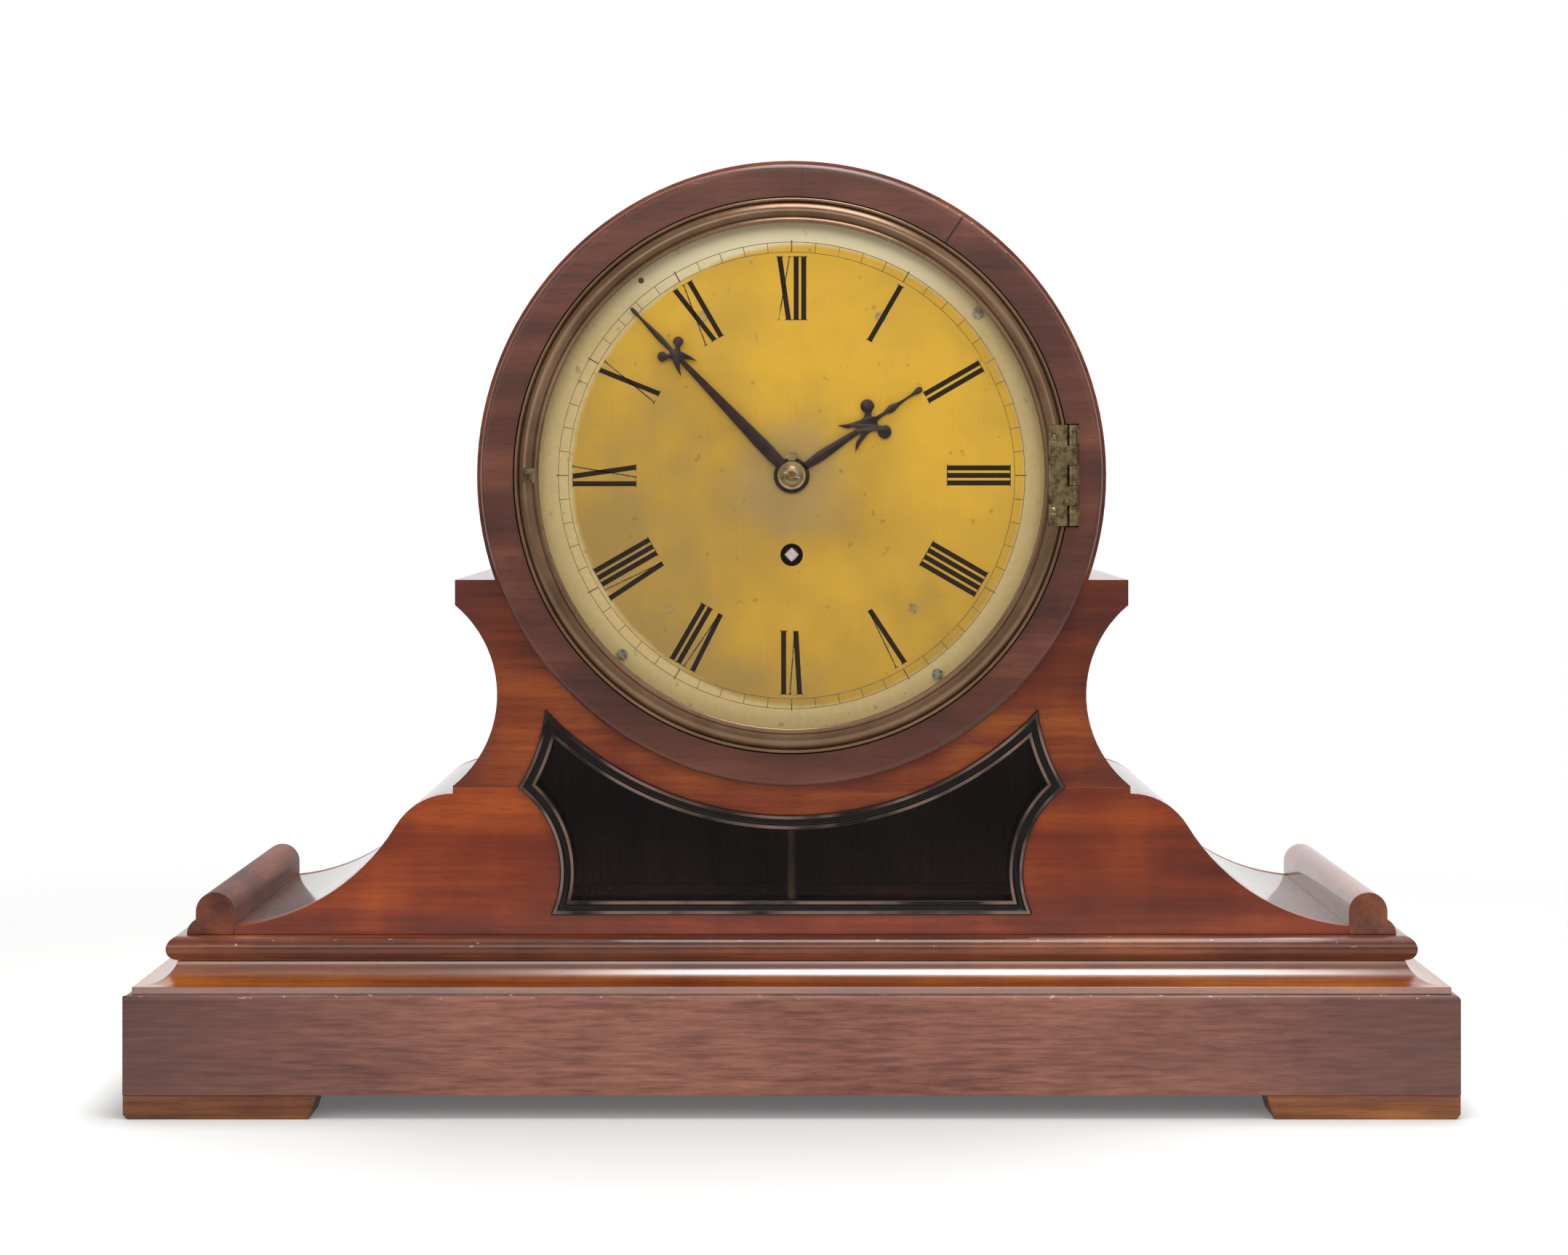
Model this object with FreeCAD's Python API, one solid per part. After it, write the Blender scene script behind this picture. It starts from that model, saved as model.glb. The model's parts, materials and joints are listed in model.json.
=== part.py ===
import FreeCAD
import Part
import math
import os

# Bracket clock with a round head on a shaped front board, swept shoulders and a moulded plinth.
# Millimetres. X to the right, Y to the back, Z up; the origin is under the middle of the clock.

# ---- the dial, and the round sizes that follow from it
DIAL_RADIUS = 119.5
DIAL_COVERED = 4.0          # edge of the dial hidden behind the bezel
DIAL_SEAT = 15.5            # edge of the dial that lies on the front board
DIAL_SCREW_INSET = 6.3
BEZEL_OVERLAP = 7.5         # bezel beyond the edge of the dial
SURROUND_WIDTH = 15.6       # raised ring beyond the bezel
SURROUND_STEP = 2.2         # drum beyond the raised ring
WINDOW_BAND = 11.5          # front board between the drum and the window
EAR_SPREAD = 10.2           # ears beyond the drum
WAIST_TUCK = 9.2            # waist inside the drum
SHOULDER_STEP = 1.0         # shoulders beyond the ears
DOOR_INSET = 26.8           # arch of the back door inside the drum

# ---- case
BODY_DEPTH = 200.0          # from the face of the front board to the back of the case
PLINTH_WIDTH = 606.0
FRONT_SETBACK = 24.8        # face of the front board behind the face of the plinth
DOOR_KNOB_REACH = 7.0       # the door's knob behind the back of the case
FOOT_HEIGHT = 10.9
FOOT_LENGTH = 88.0
FOOT_DEPTH = 28.0
FOOT_CANT = 3.5             # the inner end of a foot slopes by this much
FOOT_CHAMFER = 2.0
PLINTH_HEIGHT = 45.2
PLINTH_BOARD = 16.0
PLINTH_ROUND = 2.5          # rounded top edge of the plinth
FILLET_HEIGHT = 3.3         # small square between plinth and cavetto
FILLET_SETBACK = 3.6        # its face behind the face of the plinth
CAVETTO_HEIGHT = 9.5
CAVETTO_BOTTOM_SETBACK = 8.5    # the hollow starts here, level with the top of the square
CAVETTO_TOP_SETBACK = 21.2
TORUS_HEIGHT = 11.3
TORUS_SETBACK = 16.4        # nose of the torus behind the face of the plinth
MOULDING_STOCK = 53.0       # mouldings reach this far in from the face of the plinth
BASE_BOARD = 10.0
FRONT_BOARD = 12.0
BACK_BOARD = 10.0
SHELL_WALL = 8.0
DECK_WALL = 8.0
DIAL_RISE = 211.3           # centre of the dial above the top of the torus
EAR_RISE = 163.3            # top of the ears above the top of the torus
WAIST_RADIUS = 53.5
WAIST_RISE = 110.4
WAIST_WALL = 9.0
BOARD_JOINT_RISE = 67.8     # joint between the upper and the lower front board
SHOULDER_RISE = 65.0
SHOULDER_RADIUS = 30.7      # convex start of the swept shoulder
SWEEP_RADIUS = 97.0         # concave rest of the swept shoulder
SWEEP_ANGLE = 31.3          # where the two arcs meet, from level
ROLL_SETBACK = 37.6         # axis of the roll behind the end of the plinth
ROLL_RADIUS = 8.9
ROLL_AXIS_RISE = 10.6
ROLL_FLARE = 4.1
ROLL_FLARE_RISE = 7.0

# ---- window in the front board
WINDOW_TIP_HALF = 113.4
WINDOW_CUSP_HALF = 126.0
WINDOW_FOOT_HALF = 110.7
WINDOW_FOOT_RISE = 9.3
WINDOW_UPPER_BULGE = 2.2
WINDOW_LOWER_BULGE = 10.7
WINDOW_MOULDING = 6.7
WINDOW_PROUD = 2.0
WINDOW_BEAD = 2.2
WINDOW_HOLLOW = 1.2
GLASS = 2.0

# ---- dial, surround and bezel
SURROUND_PROUD = 9.0
SURROUND_ROUND = 3.0
BEZEL_GAP = 0.6
BEZEL_PROUD = 4.4
BEZEL_BACK_GAP = 0.2
BEZEL_GLASS = 1.5
BEZEL_LIP = 1.0
GLASS_SEAT = 1.5            # width of the rebate that the glass lies in
DIAL_THICKNESS = 2.0
DIAL_SCREW_ANGLES = (49.0, 143.7, 223.4)
DIAL_EMPTY_ANGLE = 322.3    # a fourth hole, without its screw
DIAL_SCREW_HEAD = 2.6
DIAL_SCREW_SHANK = 1.4
DIAL_SCREW_LENGTH = 9.0
WINDING_HOLE = 10.4         # diameter
FOOT_UPPER = (41.0, 73.0)   # dial feet from the centre of the dial, across and up
FOOT_LOWER = (56.0, -61.0)
DIAL_FOOT_RADIUS = 2.2
BEZEL_HINGE_HALF = 23.0     # half the height of the bezel's hinge
BEZEL_HINGE_RADIUS = 2.4
BEZEL_PIN_RADIUS = 1.0
BEZEL_HINGE_OFFSET = 1.4    # hinge axis outside the bezel's edge
BEZEL_LEAF = 1.2
BEZEL_LEAF_REACH = 11.2     # from the hinge axis onto the bezel
BEZEL_HINGE_PROUD = 1.8     # hinge axis in front of the surround
BEZEL_KNUCKLES = 5
BEZEL_STEP_PROUD = 1.0      # outer rim of the bezel in front of the surround
CATCH_TRAVEL = 1.0
CATCH_HALF = 3.2
CATCH_INSET = 2.9           # from the sight edge to the catch
CATCH_LENGTH = 4.0
SLIDE_GAP = 0.1

# ---- movement
DIAL_TO_PLATE = 11.0        # from the back of the dial to the front plate
PLATE_THICKNESS = 2.5
PLATE_GAP = 48.0
PLATE_BOTTOM_HALF = 66.0
PLATE_TOP_HALF = 49.0
PLATE_BOTTOM = -72.0
PLATE_TOP = 82.0
PILLAR_LOWER = (42.0, -63.0)
PILLAR_UPPER = (31.0, 74.0)
PILLAR_RADIUS = 4.5
PILLAR_TENON = 2.5
PIVOT_CLEARANCE = 0.05
ARBOR_RADIUS = 1.1          # third, escape and pallet arbors
CENTRE_ARBOR = 1.8
FUSEE_ARBOR = 3.0
BARREL_ARBOR = 3.0
HOUR_PIPE_RADIUS = 4.0
CANNON_RADIUS = 2.7
MOTION_STUD = 0.9
PIN_RADIUS = 0.8            # pins of the pillars
PIN_REACH = 5.0
FOOT_PIN_RADIUS = 0.7       # pins of the dial feet
FOOT_PIN_REACH = 4.5
PLATE_PROUD = 3.0           # feet and tenons beyond the plate they pass through
WINDING_DROP = 36.5         # fusee arbor below the centre of the dial
GREAT_TEETH = 84
CENTRE_PINION = 7
CENTRE_TEETH = 72
THIRD_PINION = 6
THIRD_TEETH = 56
ESCAPE_PINION = 6
ESCAPE_TEETH = 30
CENTRE_MODULE = 0.65
THIRD_MODULE = 0.60
THIRD_SIDE = 16.0           # third arbor to the left of the middle
ESCAPE_RADIUS = 15.0
PALLET_SPAN = 90.0          # degrees of the escape wheel that the anchor spans
PALLET_CLEARANCE = 0.25
ESCAPE_LEAD = 0.5           # degrees that a tooth stands past the entry pallet at rest
NIB_WIDTH = 0.7
NIB_LENGTH = 3.5
TOOTH_ROOT = 1.05           # below the pitch circle, in modules
TOOTH_TIP = 0.80            # above it, for a wheel
LEAF_TIP = 0.55             # above it, for a pinion
TOOTH_SHARES = (0.50, 0.16)     # width of a tooth at its root and tip, in pitches
LEAF_SHARES = (0.34, 0.14)
MOTION_TEETH = 40
MOTION_MODULE = 0.60
HOUR_TEETH = 72
MOTION_PINION = 6
BARREL_RADIUS = 21.0
BARREL_AT = (-55.0, -22.0)
FUSEE_LARGE = 20.0
FUSEE_SMALL = 9.5
FUSEE_LENGTH = 32.0
FUSEE_GROOVES = 8
LINE_RADIUS = 0.6
PENDULUM_LENGTH = 285.0
BOB_RADIUS = 27.0
BOB_THICKNESS = 15.0
ROD_RADIUS = 2.2
RATING_NUT_RADIUS = 6.5
COCK_REACH = 16.0           # from the back plate to the back of the pendulum cock
COCK_HALF = 16.0
COCK_BAR = 3.0
COCK_RISES = (8.0, 20.0)    # foot and top of the cock above the pallet arbor
SPRING_RISES = (-8.0, 12.0) # foot and top of the suspension spring above the pallet arbor
SPRING_WIDTH = 5.0
SPRING_THICKNESS = 0.3
SPRING_ROOM = 0.85          # half the slot in the cock, so that the spring can bend
CRUTCH_LENGTH = 62.0
CRUTCH_HALF = 1.4
CHUCK_HALF = 2.6            # block that clamps the foot of the spring
CHUCK_RISE = 4.0
CHUCK_DROP = 8.0
NUT_HEIGHT = 4.0
NUT_GAP = 0.2
WINDING_SQUARE = 4.9
WINDING_SQUARE_INSET = 1.7  # end of the square behind the back of the dial
STOP_AT = (27.0, -54.0)
STOP_STUD = 2.0
STOP_THICKNESS = 1.8
CLICK_AT = (-43.5, -9.0)
CLICK_STUD = 1.8
CLICK_RATCHET = 8.0
CLICK_RATCHET_TEETH = 14
RATCHET_DEPTH = 1.3
RATCHET_THICKNESS = 2.6

# ---- hands
MINUTE_LENGTH = 104.6
HOUR_LENGTH = 71.0
MINUTE_ANGLE = 315.6        # clockwise from twelve
HOUR_ANGLE = 56.3
HOUR_BOSS = 8.2
MINUTE_BOSS = 7.0
COLLET_RADIUS = 6.4
COLLET_HEIGHT = 2.6
HAND_THICKNESS = 1.0
HOUR_HAND_GAP = 1.1         # above the dial
HAND_GAP = 0.8              # between the two hands

# ---- back door
DOOR_HALF = 90.0
DOOR_FOOT_RISE = 20.0
DOOR_THICKNESS = 8.0
DOOR_GAP = 0.7
DOOR_HINGE_RISES = (40.0, 230.0)
DOOR_HINGE_HALF = 16.0
DOOR_HINGE_RADIUS = 2.2
DOOR_LEAF_WIDTH = 12.0
DOOR_LEAF = 1.0
DOOR_PIN_RADIUS = 1.0
DOOR_STOP = 3.0             # lip of the back board that the door closes on
DOOR_STOP_GAP = 0.1
DOOR_KNOB_RADIUS = 6.0
DOOR_KNOB_INSET = 14.0      # from the free edge of the doorway
DOOR_KNOB_DROP = 60.0       # below the centre of the dial

# ---- places worked out from the sizes above
BEZEL_SIGHT_RADIUS = DIAL_RADIUS - DIAL_COVERED
BEZEL_RADIUS = DIAL_RADIUS + BEZEL_OVERLAP
DIAL_OPENING = DIAL_RADIUS - DIAL_SEAT
DIAL_SCREW_CIRCLE = DIAL_RADIUS - DIAL_SCREW_INSET
SURROUND_RADIUS = BEZEL_RADIUS + SURROUND_WIDTH
DRUM_RADIUS = SURROUND_RADIUS + SURROUND_STEP
WINDOW_TOP_RADIUS = DRUM_RADIUS + WINDOW_BAND
EAR_HALF = DRUM_RADIUS + EAR_SPREAD
WAIST_HALF = DRUM_RADIUS - WAIST_TUCK
SHOULDER_HALF = EAR_HALF + SHOULDER_STEP
DOOR_ARCH_RADIUS = DRUM_RADIUS - DOOR_INSET
OVERALL_DEPTH = FRONT_SETBACK + BODY_DEPTH + DOOR_KNOB_REACH
PLINTH_HALF = PLINTH_WIDTH / 2
PLINTH_FRONT = -OVERALL_DEPTH / 2
BOARD_FACE = PLINTH_FRONT + FRONT_SETBACK
BOARD_BACK = BOARD_FACE + FRONT_BOARD
CASE_BACK = BOARD_FACE + BODY_DEPTH
BACK_FACE = CASE_BACK - BACK_BOARD
PLINTH_TOP = FOOT_HEIGHT + PLINTH_HEIGHT
CAVETTO_TOP = PLINTH_TOP + FILLET_HEIGHT + CAVETTO_HEIGHT
CASE_FLOOR = CAVETTO_TOP + TORUS_HEIGHT
DIAL_Z = CASE_FLOOR + DIAL_RISE
EAR_TOP = CASE_FLOOR + EAR_RISE
JOINT_Z = CASE_FLOOR + BOARD_JOINT_RISE
SHOULDER_Z = CASE_FLOOR + SHOULDER_RISE
ROLL_X = PLINTH_HALF - ROLL_SETBACK
ROLL_INNER = ROLL_X - ROLL_RADIUS
SURROUND_FACE = BOARD_FACE - SURROUND_PROUD
BEZEL_FACE = SURROUND_FACE - BEZEL_PROUD
DIAL_FACE = BOARD_FACE - DIAL_THICKNESS
PLATE_FRONT = BOARD_FACE + DIAL_TO_PLATE
PLATE_INNER = PLATE_FRONT + PLATE_THICKNESS
BACK_PLATE = PLATE_INNER + PLATE_GAP
BACK_PLATE_BACK = BACK_PLATE + PLATE_THICKNESS
PENDULUM_Y = BACK_PLATE_BACK + COCK_REACH - 5.0
WINDING_Z = -WINDING_DROP
CENTRE_AT = (0.0, 0.0)
FUSEE_AT = (0.0, WINDING_Z)
THIRD_DISTANCE = CENTRE_MODULE * (CENTRE_TEETH + THIRD_PINION) / 2
THIRD_AT = (-THIRD_SIDE, math.sqrt(THIRD_DISTANCE ** 2 - THIRD_SIDE ** 2))
ESCAPE_DISTANCE = THIRD_MODULE * (THIRD_TEETH + ESCAPE_PINION) / 2
ESCAPE_AT = (0.0, THIRD_AT[1] + math.sqrt(ESCAPE_DISTANCE ** 2 - THIRD_SIDE ** 2))
PALLET_AT = (0.0, ESCAPE_AT[1] + ESCAPE_RADIUS / math.cos(math.radians(PALLET_SPAN / 2)))
GREAT_MODULE = 2 * WINDING_DROP / (GREAT_TEETH + CENTRE_PINION)
MOTION_DISTANCE = MOTION_MODULE * MOTION_TEETH
MOTION_AT = (MOTION_DISTANCE, 0.0)
HOUR_MODULE = 2 * MOTION_DISTANCE / (HOUR_TEETH + MOTION_PINION)
HOUR_HAND_Y = DIAL_FACE - HOUR_HAND_GAP
MINUTE_HAND_Y = HOUR_HAND_Y - HAND_THICKNESS - HAND_GAP
COLLET_Y = MINUTE_HAND_Y - HAND_THICKNESS
HINGE_AXIS = (BEZEL_RADIUS + BEZEL_HINGE_OFFSET, SURROUND_FACE - BEZEL_HINGE_PROUD)
HINGE_Z = (DIAL_Z - BEZEL_HINGE_HALF, DIAL_Z + BEZEL_HINGE_HALF)
BARREL_CLEAR = BEZEL_HINGE_RADIUS + 0.3
CATCH_RADIAL = (BEZEL_SIGHT_RADIUS + CATCH_INSET, BEZEL_SIGHT_RADIUS + CATCH_INSET + CATCH_LENGTH)
DIAL_PIN_Y = PLATE_INNER + 0.75
STOP_Y = PLATE_INNER + 6.4
SPRING_FOOT = PALLET_AT[1] + SPRING_RISES[0]
SPRING_TOP = PALLET_AT[1] + SPRING_RISES[1]
GREAT_Y = (BACK_PLATE - 6.5, BACK_PLATE - 4.0)
CENTRE_Y = (PLATE_INNER + 2.6, PLATE_INNER + 4.1)
THIRD_Y = (PLATE_INNER + 27.6, PLATE_INNER + 29.1)
ESCAPE_Y = (PLATE_INNER + 35.6, PLATE_INNER + 37.0)
FUSEE_Y = (GREAT_Y[0] - 1.5 - FUSEE_LENGTH, GREAT_Y[0] - 1.5)
MOTION_Y = (PLATE_FRONT - 3.2, PLATE_FRONT - 1.2)
HOUR_WHEEL_Y = (PLATE_FRONT - 5.9, PLATE_FRONT - 4.2)
BOB_Z = DIAL_Z + PALLET_AT[1] - PENDULUM_LENGTH
ROD_FOOT = BOB_Z - BOB_RADIUS - 6.0
DOOR_HINGE_AXIS = (DOOR_HALF - DOOR_GAP / 2, CASE_BACK + DOOR_HINGE_RADIUS)


# ---- drawing helpers: every outline is drawn in the XZ plane and pushed back along Y
def point(x, z, y=0.0):
    return FreeCAD.Vector(x, y, z)


def line(a, b):
    return Part.makeLine(point(*a), point(*b))


def arc(centre, a, b):
    """The shorter arc about centre from a to b."""
    radius = math.dist(centre, a)
    mid = ((a[0] + b[0]) / 2 - centre[0], (a[1] + b[1]) / 2 - centre[1])
    scale = radius / math.hypot(*mid)
    through = (centre[0] + mid[0] * scale, centre[1] + mid[1] * scale)
    return Part.Arc(point(*a), point(*through), point(*b)).toShape()


def bulged(a, b, bulge):
    """An arc from a to b whose middle lies bulge to the left of the straight line."""
    length = math.dist(a, b)
    nx, nz = -(b[1] - a[1]) / length, (b[0] - a[0]) / length
    through = ((a[0] + b[0]) / 2 + nx * bulge, (a[1] + b[1]) / 2 + nz * bulge)
    return Part.Arc(point(*a), point(*through), point(*b)).toShape()


def slab(wire, front, back):
    """The area inside a wire, from the depth front to the depth back."""
    face = Part.Face(wire)
    face.translate(FreeCAD.Vector(0, front, 0))
    return face.extrude(FreeCAD.Vector(0, back - front, 0))


def polygon(points, front, back):
    wire = Part.makePolygon([point(*p) for p in points] + [point(*points[0])])
    return slab(wire, front, back)


def disc(at, radius, front, back):
    """A disc or rod along Y, from the depth front to the depth back."""
    return Part.makeCylinder(radius, back - front, point(at[0], at[1], front), FreeCAD.Vector(0, 1, 0))


def tube(at, outer, inner, front, back):
    return disc(at, outer, front, back).cut(disc(at, inner, front, back))


def block(x0, x1, y0, y1, z0, z1):
    return Part.makeBox(x1 - x0, y1 - y0, z1 - z0, FreeCAD.Vector(x0, y0, z0))


def turned(at, profile):
    """A ring or knob turned about an axis along Y, from (radius, depth) corners."""
    corners = [FreeCAD.Vector(r, y, 0) for r, y in profile]
    face = Part.Face(Part.makePolygon(corners + [corners[0]]))
    solid = face.revolve(FreeCAD.Vector(0, 0, 0), FreeCAD.Vector(0, 1, 0), 360)
    solid.translate(point(at[0], at[1]))
    return solid


def mirrored(shape):
    return shape.mirror(FreeCAD.Vector(0, 0, 0), FreeCAD.Vector(1, 0, 0))


def both_sides(half):
    return half.fuse(mirrored(half)).removeSplitter()


def on_dial(at):
    """A place given from the centre of the dial, as a place in the clock."""
    return (at[0], DIAL_Z + at[1])


def by_clock(radius, angle):
    """A place on the dial, by radius and by degrees clockwise from twelve."""
    turn = math.radians(angle)
    return (radius * math.sin(turn), DIAL_Z + radius * math.cos(turn))


def spun(shape, at, angle):
    """A shape turned clockwise, as seen from the front, about a place."""
    copy = shape.copy()
    copy.rotate(point(*at), FreeCAD.Vector(0, 1, 0), angle)
    return copy


def fused(shapes):
    whole = shapes[0]
    for shape in shapes[1:]:
        whole = whole.fuse(shape)
    return whole.removeSplitter()


# ---- base: feet, plinth and mouldings
def foot():
    """The front right foot, with its inner end sloping."""
    inner = PLINTH_HALF - FOOT_LENGTH
    outline = [
        (inner + FOOT_CANT, 0.0),
        (PLINTH_HALF - FOOT_CHAMFER, 0.0),
        (PLINTH_HALF, FOOT_CHAMFER),
        (PLINTH_HALF, FOOT_HEIGHT),
        (inner, FOOT_HEIGHT),
    ]
    return polygon(outline, PLINTH_FRONT, PLINTH_FRONT + FOOT_DEPTH)


def feet():
    front = foot()
    rear = front.copy()
    rear.translate(FreeCAD.Vector(0, CASE_BACK - PLINTH_FRONT - FOOT_DEPTH, 0))
    return Part.makeCompound([front, rear, mirrored(front), mirrored(rear)])


def moulding(profile):
    """Front and side lengths of a moulding, mitred at the front corners, and a plain back rail.

    profile gives edges from (setback, height) corners; a third corner makes an arc through it."""
    def drawn(place):
        edges = []
        for corners in profile:
            spots = [place(*corner) for corner in corners]
            if len(spots) == 3:
                edges.append(Part.Arc(*spots).toShape())
            else:
                edges.append(Part.makeLine(*spots))
        return Part.Face(Part.Wire(edges))

    deep = max(corner[0] for corners in profile for corner in corners)
    low = min(corner[1] for corners in profile for corner in corners)
    high = max(corner[1] for corners in profile for corner in corners)
    front = drawn(lambda u, z: FreeCAD.Vector(-PLINTH_HALF, PLINTH_FRONT + u, z))
    front = front.extrude(FreeCAD.Vector(PLINTH_WIDTH, 0, 0))
    side = drawn(lambda u, z: FreeCAD.Vector(PLINTH_HALF - u, PLINTH_FRONT, z))
    side = side.extrude(FreeCAD.Vector(0, CASE_BACK - PLINTH_FRONT, 0))
    mitres = Part.makePolygon([
        FreeCAD.Vector(-PLINTH_HALF, PLINTH_FRONT, low),
        FreeCAD.Vector(PLINTH_HALF, PLINTH_FRONT, low),
        FreeCAD.Vector(PLINTH_HALF - deep, PLINTH_FRONT + deep, low),
        FreeCAD.Vector(deep - PLINTH_HALF, PLINTH_FRONT + deep, low),
        FreeCAD.Vector(-PLINTH_HALF, PLINTH_FRONT, low),
    ])
    between = Part.Face(mitres).extrude(FreeCAD.Vector(0, 0, high - low))
    right = side.cut(between)
    front = front.common(between)
    back = block(
        -(PLINTH_HALF - deep), PLINTH_HALF - deep, CASE_BACK - PLINTH_BOARD, CASE_BACK, low, high
    )
    return Part.makeCompound([front, right, mirrored(right), back])


def plinth_frame():
    top, edge = PLINTH_TOP, PLINTH_ROUND
    near = edge * (1 - math.cos(math.pi / 4))
    return moulding([
        [(0.0, FOOT_HEIGHT), (0.0, top - edge)],
        [(0.0, top - edge), (near, top - near), (edge, top)],
        [(edge, top), (PLINTH_BOARD, top)],
        [(PLINTH_BOARD, top), (PLINTH_BOARD, FOOT_HEIGHT)],
        [(PLINTH_BOARD, FOOT_HEIGHT), (0.0, FOOT_HEIGHT)],
    ])


def cavetto_moulding():
    """A hollow moulding on a small square, its foot level and rising to the torus."""
    square = PLINTH_TOP + FILLET_HEIGHT
    low = (CAVETTO_BOTTOM_SETBACK, square)
    high = (CAVETTO_TOP_SETBACK, CAVETTO_TOP)
    run = CAVETTO_TOP_SETBACK - CAVETTO_BOTTOM_SETBACK
    radius = (run ** 2 + CAVETTO_HEIGHT ** 2) / (2 * CAVETTO_HEIGHT)
    half = math.asin(run / radius) / 2
    hollow = (low[0] + radius * math.sin(half), square + radius * (1 - math.cos(half)))
    return moulding([
        [(FILLET_SETBACK, PLINTH_TOP), (FILLET_SETBACK, square)],
        [(FILLET_SETBACK, square), low],
        [low, hollow, high],
        [high, (MOULDING_STOCK, CAVETTO_TOP)],
        [(MOULDING_STOCK, CAVETTO_TOP), (MOULDING_STOCK, PLINTH_TOP)],
        [(MOULDING_STOCK, PLINTH_TOP), (FILLET_SETBACK, PLINTH_TOP)],
    ])


def torus_moulding():
    """A half-round nosing under the case."""
    radius = TORUS_HEIGHT / 2
    root = TORUS_SETBACK + radius
    return moulding([
        [(root, CAVETTO_TOP), (TORUS_SETBACK, CAVETTO_TOP + radius), (root, CASE_FLOOR)],
        [(root, CASE_FLOOR), (MOULDING_STOCK, CASE_FLOOR)],
        [(MOULDING_STOCK, CASE_FLOOR), (MOULDING_STOCK, CAVETTO_TOP)],
        [(MOULDING_STOCK, CAVETTO_TOP), (root, CAVETTO_TOP)],
    ])


def base_board():
    inner = PLINTH_HALF - PLINTH_BOARD
    front = PLINTH_FRONT + PLINTH_BOARD
    back = CASE_BACK - PLINTH_BOARD
    return block(-inner, inner, front, back, FOOT_HEIGHT, FOOT_HEIGHT + BASE_BOARD)


# ---- outline of the case
WAIST_CENTRE = (WAIST_HALF + WAIST_RADIUS, CASE_FLOOR + WAIST_RISE)
SHOULDER_CENTRE = (SHOULDER_HALF, SHOULDER_Z - SHOULDER_RADIUS)
SWEEP_DIRECTION = (math.cos(math.radians(SWEEP_ANGLE)), math.sin(math.radians(SWEEP_ANGLE)))
SWEEP_CENTRE = (
    SHOULDER_CENTRE[0] + (SHOULDER_RADIUS + SWEEP_RADIUS) * SWEEP_DIRECTION[0],
    SHOULDER_CENTRE[1] + (SHOULDER_RADIUS + SWEEP_RADIUS) * SWEEP_DIRECTION[1],
)


def on_circle_z(centre, radius, x, sign):
    """Height at which a circle passes x, above (+1) or below (-1) its centre."""
    return centre[1] + sign * math.sqrt(radius ** 2 - (x - centre[0]) ** 2)


def on_circle_x(centre, radius, z, sign):
    return centre[0] + sign * math.sqrt(radius ** 2 - (z - centre[1]) ** 2)


def meeting():
    """Where the convex and the concave arc of the shoulder meet."""
    return (
        SHOULDER_CENTRE[0] + SHOULDER_RADIUS * SWEEP_DIRECTION[0],
        SHOULDER_CENTRE[1] + SHOULDER_RADIUS * SWEEP_DIRECTION[1],
    )


def ear_root(radius):
    """Where a circle about the dial meets the level of the ears."""
    return (on_circle_x((0.0, DIAL_Z), radius, EAR_TOP, 1), EAR_TOP)


def case_half(front, back):
    """The right half of the case's outline, as a slab."""
    floor = (ROLL_INNER, CASE_FLOOR)
    sweep_end = (ROLL_INNER, on_circle_z(SWEEP_CENTRE, SWEEP_RADIUS, ROLL_INNER, -1))
    shoulder = (SHOULDER_HALF, SHOULDER_Z)
    waist_foot = (SHOULDER_HALF, on_circle_z(WAIST_CENTRE, WAIST_RADIUS, SHOULDER_HALF, -1))
    ear_foot = (EAR_HALF, on_circle_z(WAIST_CENTRE, WAIST_RADIUS, EAR_HALF, 1))
    top = (0.0, DIAL_Z + DRUM_RADIUS)
    edges = [
        line((0.0, CASE_FLOOR), floor),
        line(floor, sweep_end),
        arc(SWEEP_CENTRE, sweep_end, meeting()),
        arc(SHOULDER_CENTRE, meeting(), shoulder),
        line(shoulder, waist_foot),
        arc(WAIST_CENTRE, waist_foot, ear_foot),
        line(ear_foot, (EAR_HALF, EAR_TOP)),
        line((EAR_HALF, EAR_TOP), ear_root(DRUM_RADIUS)),
        arc((0.0, DIAL_Z), ear_root(DRUM_RADIUS), top),
        line(top, (0.0, CASE_FLOOR)),
    ]
    return slab(Part.Wire(edges), front, back)


def window_wire(inset):
    """Outline of the window, drawn in by inset from the hole in the boards."""
    tip_z = on_circle_z((0.0, DIAL_Z), WINDOW_TOP_RADIUS, WINDOW_TIP_HALF, -1)
    tip = (WINDOW_TIP_HALF, tip_z)
    cusp = (WINDOW_CUSP_HALF, JOINT_Z)
    heel = (WINDOW_FOOT_HALF, CASE_FLOOR + WINDOW_FOOT_RISE)
    left = [(-x, z) for x, z in (tip, cusp, heel)]
    wire = Part.Wire([
        arc((0.0, DIAL_Z), left[0], tip),
        bulged(tip, cusp, -WINDOW_UPPER_BULGE),
        bulged(cusp, heel, -WINDOW_LOWER_BULGE),
        line(heel, left[2]),
        bulged(left[2], left[1], -WINDOW_LOWER_BULGE),
        bulged(left[1], left[0], -WINDOW_UPPER_BULGE),
    ])
    if inset:
        wire = wire.makeOffset2D(-inset, 2)
    return wire


def front_board():
    """The whole front, before it is parted at the joint between its two boards."""
    whole = both_sides(case_half(BOARD_FACE, BOARD_BACK))
    whole = whole.cut(slab(window_wire(0.0), BOARD_FACE, BOARD_BACK))
    return whole.cut(disc((0.0, DIAL_Z), DIAL_OPENING, BOARD_FACE, BOARD_BACK))


def front_board_lower():
    below = block(-PLINTH_HALF, PLINTH_HALF, BOARD_FACE, BOARD_BACK, 0.0, JOINT_Z)
    above_window = disc((0.0, DIAL_Z), WINDOW_TOP_RADIUS, BOARD_FACE, BOARD_BACK)
    return front_board().common(below).cut(above_window)


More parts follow.
